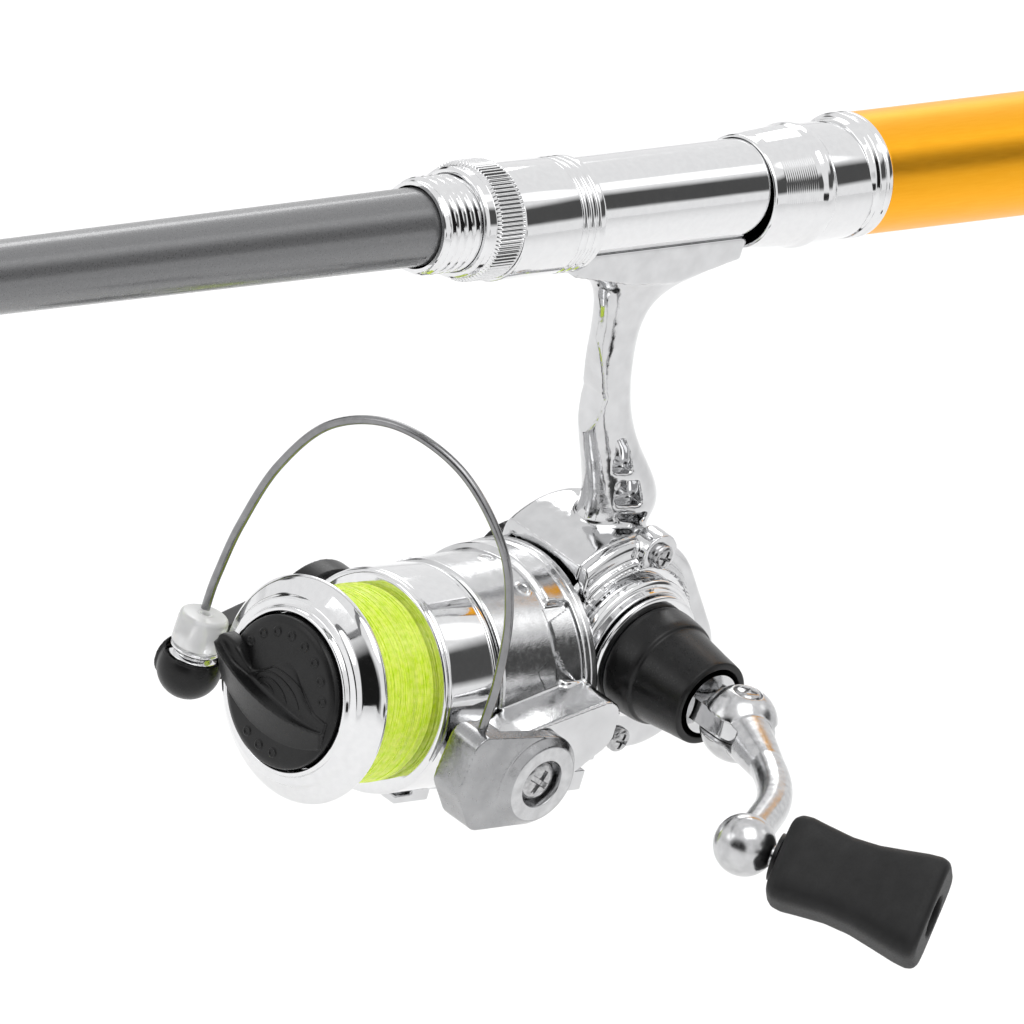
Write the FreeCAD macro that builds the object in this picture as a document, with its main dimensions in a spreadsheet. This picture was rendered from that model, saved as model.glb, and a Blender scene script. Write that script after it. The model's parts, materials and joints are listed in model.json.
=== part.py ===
import FreeCAD, Part
import math
import os

import Sketcher
from FreeCAD import Placement, Rotation, Vector

# A pocket telescopic fishing rod with a small spinning reel clamped in its seat.
#
# Row frame: +X runs along the rod from tip to butt, +Z is up, and the origin is the
# middle of the grip on the rod's axis. Lengths along the rod and the reel are
# stations: millimetres from the front face of the reel seat towards the butt.

os.makedirs("parts", exist_ok=True)
DOC = FreeCAD.newDocument("pocket_rod")

DIMENSIONS = {
    # grip and reel seat
    "grip_length": 100.0,
    "grip_radius": 8.0,
    "grip_bore": 7.0,
    "seat_length": 79.3,
    "seat_radius": 6.44,
    "seat_bore": 5.4,
    "thread_crest": 6.35,
    "thread_root": 5.9,
    "thread_pitch": 1.4,
    "nut_front": 6.5,
    "nut_rear": 13.0,
    "nut_radius": 7.83,
    "hood_rear": 28.0,
    "hood_radius": 7.6,
    "hood_bore": 6.5,
    "hood_drop": 0.7,
    "hood_wall": 0.45,
    "rear_hood_front": 58.8,
    "rear_hood_mouth": 7.4,
    "rear_hood_drop": 0.5,
    "cap_length": 10.0,
    "cap_radius": 7.7,
    # telescopic sections
    "section_length": 165.0,
    "section_inside": 10.0,
    "collar_length": 5.0,
    "collar_step": 5.3,
    # reel layout
    "reel_drop": 67.8,
    "foot_front": 21.5,
    "foot_rear": 66.0,
    "foot_half": 4.5,
    "crank_station": 53.0,
    "crank_rise": 7.0,
    "shell_near": 6.5,
    "shell_far": 8.0,
    "shell_wall": 1.6,
    # spool and drag
    "shaft_radius": 1.6,
    "spool_front": 2.8,
    "lip_radius": 14.9,
    "barrel_radius": 9.0,
    "line_radius": 13.0,
    "line_front": 8.0,
    "line_rear": 17.4,
    "skirt_radius": 14.75,
    "skirt_rear": 27.1,
    "skirt_bore": 13.5,
    "drag_bore": 7.2,
    "knob_radius": 10.1,
    "knob_front": 1.7,
    # rotor and bail
    "rotor_front": 27.5,
    "rotor_rear": 43.2,
    "rotor_radius": 16.35,
    "pivot_station": 28.7,
    "pivot_drop": 3.5,
    "arm_round": 6.2,
    "near_arm_out": 20.8,
    "far_arm_out": 19.4,
    "holder_out": 24.0,
    "holder_round": 6.4,
    "wire_radius": 0.6,
    "roller_station": 5.4,
    "roller_side": 19.0,
    # gears
    "drive_teeth": 39,
    "pinion_teeth": 9,
    "drive_shaft_radius": 2.5,
    # crank
    "hinge_out": 32.0,
    "ball_radius": 4.1,
    "crank_rod": 2.3,
}

RUN = 0.06       # running clearance of a shaft in its hole
GAP = 0.3        # clearance between faces that only pass each other


class Size:
    """A length with both its number and the sheet expression that drives it."""

    def __init__(self, text, number):
        self.text = text
        self.number = number

    def __float__(self):
        return float(self.number)

    def join(self, sign, other, number):
        return Size(f"({self.text} {sign} {text_of(other)})", number)

    def __add__(self, other):
        return self.join("+", other, self.number + float(other))

    def __sub__(self, other):
        return self.join("-", other, self.number - float(other))

    def __mul__(self, other):
        return self.join("*", other, self.number * float(other))

    def __truediv__(self, other):
        return self.join("/", other, self.number / float(other))

    def __neg__(self):
        return Size(f"(0 - {self.text})", -self.number)


def text_of(value):
    """Return a Size's expression, or a plain number as text."""
    if isinstance(value, Size):
        return value.text
    return repr(float(value))


class Dims:
    """Gives every cell of the sheet as a Size."""

    def __getattr__(self, name):
        return Size(f"dims.{name}", float(DIMENSIONS[name]))


D = Dims()
PARTS = {}


def make_sheet():
    """Write the driving dimensions to the spreadsheet, one alias a row."""
    sheet = DOC.addObject("Spreadsheet::Sheet", "dims")
    for row, (alias, number) in enumerate(DIMENSIONS.items(), start=1):
        sheet.set(f"A{row}", alias)
        sheet.set(f"B{row}", str(number))
        sheet.setAlias(f"B{row}", alias)
    DOC.recompute()


make_sheet()

SEAT_FRONT = -(D.grip_length / 2 + D.seat_length)
REEL_Z = -D.reel_drop
CRANK_X = SEAT_FRONT + D.crank_station
CRANK_Z = REEL_Z + D.crank_rise
ALONG_X = Rotation()
OUT_NEAR = Rotation(Vector(0, 0, 1), -90)      # local +X points to -Y
UP = Rotation(Vector(0, 1, 0), -90)            # local +X points to +Z

# Axis homes: base point, and the rotation that takes local +X to the axis
ROD = (SEAT_FRONT, 0, 0, ALONG_X)
REEL = (SEAT_FRONT, 0, REEL_Z, ALONG_X)
CRANK = (CRANK_X, 0, CRANK_Z, OUT_NEAR)
ROLLER = (SEAT_FRONT + D.roller_station, D.roller_side, REEL_Z, UP)


def place(item, home, start):
    """Put an object on its axis, start millimetres along it, bound to the sheet."""
    base_x, base_y, base_z, turn = home
    along = turn.multVec(Vector(1, 0, 0))
    item.Placement = Placement(Vector(0, 0, 0), turn)
    bases = {"x": base_x, "y": base_y, "z": base_z}
    for letter, base in bases.items():
        share = round(getattr(along, letter))
        text = f"{text_of(base)} + {share} * {text_of(start)}"
        item.setExpression(f".Placement.Base.{letter}", text)


def keep(label, item):
    """Register an object as a sub-part under its file name."""
    item.Label = label
    PARTS[label] = item
    return item


def origin_part(body, role):
    """Return a body's own origin plane or axis."""
    for feature in body.Origin.OriginFeatures:
        if feature.Role == role:
            return feature
    raise RuntimeError(f"no {role} in {body.Name}")


def sketch_on(body, role, name):
    """Add a sketch to a body on one of its origin planes."""
    sketch = body.newObject("Sketcher::SketchObject", name)
    sketch.AttachmentSupport = [(origin_part(body, role), "")]
    sketch.MapMode = "FlatFace"
    return sketch


def pin_point(sketch, line, across, height):
    """Fix a line's first point at two bound distances from the sketch's origin."""
    if float(across) == 0:
        sketch.addConstraint(Sketcher.Constraint("PointOnObject", line, 1, -2))
    else:
        index = sketch.addConstraint(
            Sketcher.Constraint("DistanceX", -1, 1, line, 1, float(across)))
        sketch.setExpression(f"Constraints[{index}]", text_of(across))
    if float(height) == 0:
        sketch.addConstraint(Sketcher.Constraint("PointOnObject", line, 1, -1))
    else:
        index = sketch.addConstraint(
            Sketcher.Constraint("DistanceY", -1, 1, line, 1, float(height)))
        sketch.setExpression(f"Constraints[{index}]", text_of(height))


def add_loop(sketch, corners):
    """Draw a closed loop of lines and bind each corner to the sheet."""
    spots = [Vector(float(across), float(height), 0) for across, height in corners]
    lines = []
    for first, second in zip(spots, spots[1:] + spots[:1]):
        lines.append(sketch.addGeometry(Part.LineSegment(first, second), False))
    for line, after in zip(lines, lines[1:] + lines[:1]):
        sketch.addConstraint(Sketcher.Constraint("Coincident", line, 2, after, 1))
    for line, (across, height) in zip(lines, corners):
        pin_point(sketch, line, across, height)


def turned(label, home, profile):
    """Make a turned piece: a closed half section of (station, radius) corners."""
    start = min((station for station, _ in profile), key=float)
    body = DOC.addObject("PartDesign::Body", label)
    sketch = sketch_on(body, "XY_Plane", f"{label}_section")
    corners = []
    for station, radius in profile:
        across = 0 if float(station) == float(start) else Size(
            f"({text_of(station)} - {text_of(start)})", float(station) - float(start))
        corners.append((across, radius))
    add_loop(sketch, corners)
    DOC.recompute()
    turn = body.newObject("PartDesign::Revolution", f"{label}_turn")
    turn.Profile = sketch
    turn.ReferenceAxis = (sketch, ["H_Axis"])
    turn.Angle = 360
    place(body, home, start)
    DOC.recompute()
    return keep(label, body)


def cut_round(body, name, corners, count, depth, start=0):
    """Cut one straight-sided slot along the axis and repeat it round the axis."""
    sketch = sketch_on(body, "YZ_Plane", f"{name}_slot")
    sketch.AttachmentOffset = Placement(Vector(0, 0, float(start)), Rotation())
    add_loop(sketch, corners)
    DOC.recompute()
    before = body.Shape.Volume
    pocket = body.newObject("PartDesign::Pocket", f"{name}_cut")
    pocket.Profile = sketch
    pocket.Reversed = True
    pocket.setExpression("Length", text_of(depth))
    DOC.recompute()
    if before - body.Shape.Volume < 1e-4:
        raise RuntimeError(f"{name} cut nothing")
    pattern = body.newObject("PartDesign::PolarPattern", f"{name}_round")
    pattern.Originals = [pocket]
    pattern.Axis = (origin_part(body, "X_Axis"), [""])
    pattern.Angle = 360
    pattern.setExpression("Occurrences", text_of(count))
    body.Tip = pattern
    DOC.recompute()


def feature(label, shape):
    """Make a sub-part from a shape worked out with Part's own functions."""
    item = DOC.addObject("Part::Feature", label)
    item.Shape = shape
    return keep(label, item)


def spot(station, side, height):
    """Return a point given its station and its place beside and above the reel's axis."""
    return Vector(float(SEAT_FRONT) + float(station), float(side), float(REEL_Z) + float(height))


def rod_cylinder(radius, first, last, drop=0.0):
    """Return a cylinder along the rod between two stations."""
    base = Vector(float(SEAT_FRONT) + float(first), 0, -float(drop))
    return Part.makeCylinder(float(radius), float(last) - float(first), base, Vector(1, 0, 0))


def reel_cylinder(radius, first, last):
    """Return a cylinder on the reel's axis between two stations."""
    return rod_cylinder(radius, first, last, D.reel_drop)


def side_cylinder(radius, station, height, side_first, side_last):
    """Return a cylinder across the reel, along Y."""
    base = spot(station, side_first, height)
    return Part.makeCylinder(float(radius), float(side_last) - float(side_first),
                             base, Vector(0, 1, 0))


def block(station, side, height, length, width, tall):
    """Return a box from its lowest corner on the reel and its three sizes."""
    return Part.makeBox(length, width, tall, spot(station, side, height))


def side_plate(corners, side_first, side_last):
    """Extrude an outline of (station, height) corners across the reel, along Y."""
    points = [spot(station, side_first, height) for station, height in corners]
    face = Part.Face(Part.makePolygon(points + points[:1]))
    return face.extrude(Vector(0, float(side_last) - float(side_first), 0))


def hull_plate(discs, side_first, side_last):
    """Extrude the outline round discs (station, height, radius), listed anticlockwise."""
    lines = []
    for (x_1, z_1, r_1), (x_2, z_2, r_2) in zip(discs, discs[1:] + discs[:1]):
        length = math.hypot(x_2 - x_1, z_2 - z_1)
        along_x = (x_2 - x_1) / length
        along_z = (z_2 - z_1) / length
        lean = (r_1 - r_2) / length
        square = math.sqrt(1 - lean * lean)
        lines.append(math.atan2(along_z * lean - along_x * square,
                                along_x * lean + along_z * square))
    edges = []
    for index, disc in enumerate(discs):
        first, last = lines[index - 1], lines[index]
        if last < first:
            last += 2 * math.pi
        rim = [rim_spot(disc, side_first, angle) for angle in (first, (first + last) / 2, last)]
        edges.append(Part.Arc(*rim).toShape())
        following = discs[(index + 1) % len(discs)]
        edges.append(Part.LineSegment(
            rim[2], rim_spot(following, side_first, lines[index])).toShape())
    face = Part.Face(Part.Wire(edges))
    return face.extrude(Vector(0, float(side_last) - float(side_first), 0))


def rim_spot(disc, side, angle):
    """Return the point of a disc's rim at an angle, in the plane across the reel."""
    station, height, radius = disc
    return spot(station + radius * math.cos(angle), side, height + radius * math.sin(angle))


def bent_path(points):
    """Join straight runs with tangent arcs as large as their two runs allow."""
    edges = []
    start = points[0]
    for before, corner, after in zip(points, points[1:], points[2:]):
        back = before - corner
        ahead = after - corner
        shorter = min(back.Length, ahead.Length)
        trim = 0.45 * shorter
        back.normalize()
        ahead.normalize()
        half_turn = (math.pi - back.getAngle(ahead)) / 2
        first = corner + back * trim
        last = corner + ahead * trim
        middle = back + ahead
        middle.normalize()
        radius = trim / math.tan(half_turn)
        crown = corner + middle * (radius / math.cos(half_turn) - radius)
        edges.append(Part.LineSegment(start, first).toShape())
        edges.append(Part.Arc(first, crown, last).toShape())
        start = last
    edges.append(Part.LineSegment(start, points[-1]).toShape())
    return Part.Wire(edges)


def tube_along(path, radius):
    """Sweep a round section along a path."""
    first = path.OrderedEdges[0]
    at = first.valueAt(first.FirstParameter)
    ring = Part.Wire(Part.makeCircle(radius, at, first.tangentAt(first.FirstParameter)))
    return path.makePipeShell([ring], True, True)


# ---------------------------------------------------------------- rod handle and seat

def thread_rings(first, last):
    """Return the corners of the ring grooves that stand in for a screw thread."""
    corners = []
    turns = int((float(last) - float(first)) / float(D.thread_pitch))
    for turn in range(turns):
        at = D.thread_pitch * turn + first
        corners.append((at, D.thread_root))
        corners.append((at + 0.5, D.thread_crest))
        corners.append((at + 0.9, D.thread_crest))
    corners.append((D.thread_pitch * turns + first, D.thread_root))
    return corners


def make_grip():
    """The anodised handle tube and the screw-in cap at its butt."""
    front = D.seat_length
    rear = D.seat_length + D.grip_length
    turned("grip_tube", ROD, [
        (front, D.grip_bore), (front, D.grip_radius - 0.2), (front + 0.2, D.grip_radius),
        (rear - 0.2, D.grip_radius), (rear, D.grip_radius - 0.2), (rear, D.grip_bore)])
    turned("butt_cap", ROD, [
        (rear - 8, 0), (rear - 8, D.grip_bore - 0.05), (rear, D.grip_bore - 0.05),
        (rear, D.cap_radius), (rear + 7, D.cap_radius), (rear + D.cap_length, 6.2),
        (rear + D.cap_length, 0)])


def make_seat():
    """The seat tube, its threaded front ferrule and the fixed rear hood."""
    split = 24.0
    turned("threaded_ferrule", ROD, [
        (0.0, D.seat_bore), (0.0, D.thread_root - 0.15), (0.5, D.thread_root)]
        + thread_rings(0.8, 22.0) + [(split, D.thread_root), (split, D.seat_bore)])
    buried = D.seat_length + 16
    turned("seat_tube", ROD, [
        (split, D.seat_bore + 0.1), (split, D.seat_radius), (D.seat_length, D.seat_radius),
        (D.seat_length, D.grip_bore), (buried, D.grip_bore), (buried, D.seat_bore + 0.1)])


def make_rear_hood():
    """The fixed hood: a skirt set low to take the foot's heel, a bead and a collar."""
    front = D.rear_hood_front
    mouth = D.rear_hood_mouth
    ridges = []
    for ridge in range(9):
        at = front + 2.0 + 0.65 * ridge
        radius = mouth + 0.1 + 0.04 * ridge
        ridges += [(at, radius), (at + 0.2, radius - 0.12), (at + 0.4, radius)]
    bead = front + 8.4
    collar = D.seat_length - 2.6
    low_axis = (SEAT_FRONT, 0, -D.rear_hood_drop, ALONG_X)
    skirt = turned("rear_hood_skirt", low_axis, [
        (front, 0), (front, mouth - 0.25), (front + 0.3, mouth)] + ridges + [
        (bead, mouth + 0.5), (bead + 0.4, mouth + 0.75), (bead + 1.8, mouth + 0.75),
        (bead + 2.2, mouth + 0.4), (collar, mouth + 0.3), (collar, 0)])
    flange = turned("rear_hood_collar", ROD, [
        (collar - 1.0, 0), (collar - 1.0, mouth + 0.1), (collar, mouth + 0.3),
        (collar + 0.3, D.grip_radius + 0.25), (D.seat_length, D.grip_radius + 0.25),
        (D.seat_length, 0)])
    del PARTS["rear_hood_skirt"], PARTS["rear_hood_collar"]
    shape = skirt.Shape.fuse(flange.Shape)
    shape = shape.cut(heel_cone(0.0))
    shape = shape.cut(rod_cylinder(D.seat_radius, 40, 100))
    feature("rear_hood", shape.removeSplitter())


def heel_cone(inset):
    """Return the space in the rear hood for the foot's heel, drawn in by inset."""
    mouth = float(D.rear_hood_mouth) - float(D.hood_wall) - inset
    start = float(D.rear_hood_front)
    base = Vector(float(SEAT_FRONT) + start, 0, -float(D.rear_hood_drop))
    return Part.makeCone(mouth, mouth + 0.35, 7.5, base, Vector(1, 0, 0))


def toe_cylinder(inset, first, last):
    """Return the space in the sliding hood for the foot's toe, drawn in by inset."""
    radius = float(D.hood_radius) - float(D.hood_wall) - inset
    return rod_cylinder(radius, first, last, D.hood_drop)


def make_clamp():
    """The sliding hood and the knurled nut that pushes it onto the foot."""
    front = D.nut_rear + GAP
    rear = D.hood_rear
    outside = D.hood_radius
    grooves = []
    for groove in range(3):
        at = rear - 4.4 + 1.2 * groove
        grooves += [(at, outside), (at + 0.3, outside - 0.2), (at + 0.7, outside - 0.2),
                    (at + 1.0, outside)]
    low_axis = (SEAT_FRONT, 0, -D.hood_drop, ALONG_X)
    body = turned("slide_hood_solid", low_axis, [
        (front, 0), (front, outside - 0.2), (front + 0.2, outside)] + grooves + [
        (rear - 0.4, outside), (rear, outside - 0.2), (rear, 0)])
    del PARTS["slide_hood_solid"]
    shape = body.Shape.cut(toe_cylinder(0.0, float(front) + 4.4, 40))
    shape = shape.cut(rod_cylinder(D.hood_bore, 0, 40))
    feature("slide_hood", shape.removeSplitter())
    nut = turned("lock_nut", ROD, [
        (D.nut_front, D.thread_crest + RUN), (D.nut_front, 6.9), (D.nut_front + 0.5, 7.2),
        (D.nut_front + 1.4, 7.2), (D.nut_front + 1.7, D.nut_radius),
        (D.nut_rear - 0.2, D.nut_radius), (D.nut_rear, D.nut_radius - 0.2),
        (D.nut_rear, D.thread_crest + RUN)])
    depth = D.nut_radius - 0.35
    cut_round(nut, "knurl", [
        (-0.02, depth), (0.02, depth), (0.22, D.nut_radius + 0.1), (-0.22, D.nut_radius + 0.1)],
        64, D.nut_rear - D.nut_front)


# ---------------------------------------------------------------- telescopic sections

# Outside radius at the tip and at the base, and wall, of each section
SECTIONS = [(4.40, 5.18, 0.45), (3.12, 3.86, 0.40), (2.05, 2.64, 0.35),
            (1.22, 1.62, 0.30), (0.50, 0.84, None)]
# Inner radius of the ring on each section's tip
RINGS = [4.2, 3.4, 2.7, 2.2, 1.7]


def make_sections():
    """Five tapered tubes, each with a line guide on its tip, nested in the first."""
    for index, (tip, base, wall) in enumerate(SECTIONS):
        name = f"blank_{index + 1}"
        front = D.section_inside - D.section_length - D.collar_step * index
        rear = front + D.section_length
        corners = [(front, tip), (rear, base)]
        if wall is None:
            corners += [(rear, 0), (front, 0)]
        else:
            corners += [(rear, base - wall), (front, tip - wall)]
        turned(name, ROD, corners)
        make_guide(index, tip, front)


def make_guide(index, tip, front):
    """A whipped collar, two legs and a wire ring that hangs on the reel's side."""
    inner = RINGS[index]
    wire = 0.55
    reach = tip + 0.35 + inner + wire + 1.2
    at = float(SEAT_FRONT) + float(front)
    collar_outer = tip + 0.4
    last = index == len(SECTIONS) - 1
    collar_start = float(front) - (0.8 if last else 0.0)
    collar = rod_cylinder(collar_outer, collar_start, float(front) + float(D.collar_length))
    bore_start = float(front) if last else collar_start
    collar = collar.cut(rod_cylinder(tip_radius_inside(index), bore_start,
                                     float(front) + float(D.collar_length)))
    ring_x = at + 1.0
    ring = Part.makeTorus(inner + wire, wire, Vector(ring_x, 0, -reach), Vector(1, 0, 0))
    legs = []
    for side in (-1, 1):
        top = Vector(at + 3.6, side * (collar_outer - 0.35) * 0.5, -(collar_outer - 0.35) * 0.86)
        foot_angle = math.radians(55)
        foot = Vector(ring_x, side * (inner + wire) * math.sin(foot_angle),
                      -reach + (inner + wire) * math.cos(foot_angle))
        legs.append(Part.makeCylinder(0.4, (foot - top).Length, top, foot - top))
    shape = collar.multiFuse([ring] + legs)
    shape = shape.cut(rod_cylinder(tip_radius_inside(index), bore_start,
                                   float(front) + float(D.collar_length)))
    label = "tip_top" if last else f"guide_{index + 1}"
    feature(label, shape)


def tip_radius_inside(index):
    """Return a guide collar's bore, which just clears the blank's taper."""
    tip, base, _ = SECTIONS[index]
    slope = (base - tip) / float(D.section_length)
    return tip + slope * float(D.collar_length)


# ---------------------------------------------------------------- reel body

def shell_plate(inset, side_first, side_last):
    """Return a slab with the gear case's side outline, drawn in by inset."""
    discs = [(float(D.crank_station), float(D.crank_rise), 13.9 - inset),
             (61.6, 0.6, 10.9 - inset)]
    return hull_plate(discs, side_first, side_last)


def rotor_clearance():
    """Return the space that the turning rotor sweeps in front of the housing."""
    outer = reel_cylinder(40, 20, D.rotor_rear + 0.6)
    return outer.cut(reel_cylinder(13.3, 20, D.rotor_rear + 0.6))


STEM = [  # height, front station, rear station, half thickness
    (58.3, 33.5, 59.0, 4.2), (56.3, 36.6, 54.0, 3.6), (52.8, 39.2, 48.6, 2.9),
    (45.8, 40.8, 48.0, 2.6), (38.8, 42.0, 50.0, 2.7), (30.8, 45.2, 55.0, 3.2),
    (22.8, 48.6, 60.4, 3.9), (14.8, 46.5, 64.5, 5.0)]


def make_stem():
    """Loft the reel's leg through elliptical sections from the foot to the housing."""
    rings = []
    for height, front, rear, half in STEM:
        centre = spot((front + rear) / 2, 0, height)
        long_half = (rear - front) / 2
        oval = Part.Ellipse(centre + Vector(long_half, 0, 0), centre + Vector(0, half, 0), centre)
        rings.append(Part.Wire(oval.toShape()))
    return Part.makeLoft(rings, True, False)


def make_foot():
    """The saddle under the seat tube, with a thin toe and heel inside the two hoods."""
    front = float(D.foot_front)
    rear = float(D.foot_rear)
    profile = [(front, -3.0), (rear, -3.0), (rear, -8.6), (59.0, -8.0), (53.0, -9.4),
               (48.0, -10.6), (40.0, -10.2), (34.0, -9.0), (28.6, -8.0), (front, -8.6)]
    half = float(D.foot_half)
    points = [Vector(float(SEAT_FRONT) + x, -half, z) for x, z in profile]
    slab = Part.Face(Part.makePolygon(points + points[:1])).extrude(Vector(0, 2 * half, 0))
    ends = [edge for edge in slab.Edges
            if edge.BoundBox.XLength < 1e-6 and edge.BoundBox.YLength < 1e-6]
    slab = slab.makeFillet(3.0, ends)
    toe_room = rod_cylinder(20, 0, float(D.hood_rear) + GAP)
    slab = slab.cut(toe_room.cut(toe_cylinder(0.1, -1, 40)))
    heel_room = rod_cylinder(20, float(D.rear_hood_front) - GAP, 80)
    slab = slab.cut(heel_room.cut(heel_cone(0.1)))
    return slab.cut(rod_cylinder(D.seat_radius, 0, 100))


# Weight-saving pockets beside the leg's rear edge: station and height of each corner
LEG_POCKETS = [
    [(47.6, 33.6), (48.9, 28.6), (52.0, 28.6), (50.6, 31.6), (48.9, 33.6)],
    [(50.2, 27.3), (50.9, 23.8), (55.2, 23.8), (53.5, 27.3)],
    [(51.4, 22.6), (52.2, 21.6), (57.0, 21.4), (56.4, 22.6)]]


def make_housing():
    """The cast body: foot, leg and the far half of the gear case."""
    near = -float(D.shell_near)
    far = float(D.shell_far)
    wall = float(D.shell_wall)
    shell = shell_plate(0, near, far)
    far_edges = [edge for edge in shell.Edges
                 if edge.BoundBox.YMin > far - 1e-6]
    shell = shell.makeFillet(1.4, far_edges)
    far_boss = side_cylinder(6.6, D.crank_station, D.crank_rise, 2.0, far + 1.6)
    # hollow for the gears, open towards the side cover
    hollow = shell_plate(wall, near - 1, far - wall)
    case = shell.multiFuse([far_boss, make_stem(), make_foot()])
    case = case.cut(hollow)
    nose = reel_cylinder(6.4, 37.0, 41.2)
    screw_posts = [side_cylinder(1.9, station, height, near, 1.0)
                   for station, height in COVER_SCREWS]
    case = case.multiFuse([nose] + screw_posts)
    for station, height in COVER_SCREWS:
        case = case.cut(side_cylinder(0.9, station, height, near - 1, -1.0))
    case = case.cut(rotor_clearance())
    case = case.cut(reel_cylinder(4.6, 36.0, 43.6))
    case = case.cut(reel_cylinder(3.6, 43.0, 52.0))
    case = case.cut(side_cylinder(3.6, D.crank_station, D.crank_rise, -1, 20))
    for corners in LEG_POCKETS:
        case = case.cut(side_plate(corners, -9, -1.4))
    feature("reel_housing", case.removeSplitter())


COVER_SCREWS = [(54.6, 19.6), (69.2, 2.4), (58.6, -8.3)]      # station, height
COVER_STEPS = [(6.5, 13.4), (7.0, 12.3), (8.0, 11.7), (9.0, 11.0), (10.0, 10.0), (11.0, 9.4)]


def make_cover():
    """The near gear-case cover with its stepped boss round the crank shaft."""
    near = float(D.shell_near)
    plate = shell_plate(0, -near - 1.8, -near)
    outer_edges = [edge for edge in plate.Edges
                   if edge.BoundBox.YMax < -near - 1.8 + 1e-6]
    plate = plate.makeFillet(1.2, outer_edges)
    steps = []
    for (out, radius), (next_out, _) in zip(COVER_STEPS, COVER_STEPS[1:] + [(12.6, 0)]):
        steps.append(side_cylinder(radius, D.crank_station, D.crank_rise, -next_out, -out))
    screw_boss = side_cylinder(2.9, *COVER_SCREWS[0], -9.6, -near)
    cover = plate.multiFuse(steps + [screw_boss])
    cover = cover.cut(side_cylinder(8.0, D.crank_station, D.crank_rise, -10.9, 0))
    cover = cover.cut(side_cylinder(3.6, D.crank_station, D.crank_rise, -20, 0))
    cover = cover.cut(rotor_clearance())
    for index, (station, height) in enumerate(COVER_SCREWS):
        cover = cover.cut(side_cylinder(0.95, station, height, -20, 0))
        cover = cover.cut(side_cylinder(1.8, station, height, -20, -screw_seat(index)))
    feature("side_cover", cover.removeSplitter())


def screw_seat(index):
    """Return how far out a cover screw's head sits: the first is on a tall boss."""
    return 9.6 if index == 0 else 8.3


def make_cover_screws():
    """Three pan-head screws through the side cover."""
    screws = []
    for index, (station, height) in enumerate(COVER_SCREWS):
        seat = screw_seat(index)
        head = side_cylinder(1.7, station, height, -seat - 1.1, -seat)
        head = head.makeFillet(0.4, [edge for edge in head.Edges
                                     if edge.BoundBox.YMax < -seat - 1.0])
        shank = side_cylinder(0.9, station, height, -seat, -1.5)
        slots = [block(station - 1.1, -seat - 1.2, height - 0.2, 2.2, 0.6, 0.4),
                 block(station - 0.2, -seat - 1.2, height - 1.1, 0.4, 0.6, 2.2)]
        screws.append(head.fuse(shank).cut(slots[0]).cut(slots[1]))
    feature("cover_screws", Part.makeCompound(screws))


def make_bushes():
    """Plain bearings of the crank shaft and the pinion, and the one-way clutch."""
    shaft = D.drive_shaft_radius + RUN
    turned("drive_bush_near", CRANK, [(9.2, shaft), (9.2, 3.6), (12.4, 3.6), (12.4, shaft)])
    turned("drive_bush_far", CRANK, [(-9.5, shaft), (-9.5, 3.6), (-6.5, 3.6), (-6.5, shaft)])
    turned("pinion_bush", REEL, [(37.2, 3.0 + RUN), (37.2, 4.6), (41.2, 4.6), (41.2, 3.0 + RUN)])
    turned("one_way_clutch", REEL, [(33.0, 3.0 + RUN), (33.0, 6.4), (36.9, 6.4),
                                    (36.9, 3.0 + RUN)])


# ---------------------------------------------------------------- crank drive

def make_drive():
    """The crank shaft, its face gear, the black sleeve and the far screw cap."""
    turned("drive_shaft", CRANK, [
        (-13.4, 0), (-13.4, D.drive_shaft_radius), (25.0, D.drive_shaft_radius), (25.0, 0)])
    gear = turned("drive_gear", CRANK, [
        (-6.2, D.drive_shaft_radius), (-6.2, 4.4), (-5.4, 6.0), (-5.4, 11.4), (-3.2, 11.4),
        (-3.2, 8.2), (-4.0, 8.2), (-4.0, D.drive_shaft_radius)])
    cut_round(gear, "tooth", [(-0.38, 8.0), (0.38, 8.0), (0.46, 11.8), (-0.46, 11.8)],
              D.drive_teeth, 0.9, 2.2)
    turned("sleeve_ring", CRANK, [
        (12.9, D.drive_shaft_radius), (12.9, 8.4), (13.3, 8.8), (13.7, 8.4),
        (13.7, D.drive_shaft_radius)])
    turned("handle_sleeve", CRANK, [
        (13.7, D.drive_shaft_radius), (13.7, 7.5), (18.6, 7.15), (18.7, 6.75), (25.6, 5.85),
        (26.5, 5.75), (26.5, 4.9), (22.0, 4.6), (22.0, D.drive_shaft_radius)])
    cap = turned("far_cap", CRANK, [
        (-15.4, 0), (-15.4, 4.4), (-14.8, 5.2), (-10.4, 5.2), (-10.0, 4.9),
        (-10.0, D.drive_shaft_radius), (-13.4, D.drive_shaft_radius), (-13.4, 0)])
    cut_round(cap, "rib", [(-0.15, 4.75), (0.15, 4.75), (0.3, 5.4), (-0.3, 5.4)], 22, 5.4)


def hinge_spot(along, out, up=0.0):
    """Return a point of the crank, from the crank shaft's axis and outward."""
    return spot(float(D.crank_station) + along, -float(out), float(D.crank_rise) + up)


def make_hub():
    """The tongue at the shaft's end and the pin that the crank folds on."""
    out = float(D.hinge_out)
    stub = Part.makeCylinder(4.2, 4.4, hinge_spot(0, 22.2), Vector(0, -1, 0))
    tongue = Part.makeCylinder(3.7, 2.9, hinge_spot(0, out, -1.45), Vector(0, 0, 1))
    web = Part.makeBox(7.4, out - 25.0, 2.9, hinge_spot(-3.7, out, -1.45))
    hub = stub.multiFuse([tongue, web])
    hub = hub.cut(Part.makeCylinder(1.0, 12, hinge_spot(0, out, -6), Vector(0, 0, 1)))
    hub = hub.cut(Part.makeCylinder(2.5, 6, hinge_spot(0, 19.2), Vector(0, -1, 0)))
    feature("crank_hub", hub)
    pin = Part.makeCylinder(1.0, 9.4, hinge_spot(0, out, -4.7), Vector(0, 0, 1))
    feature("fold_pin", pin)


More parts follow.
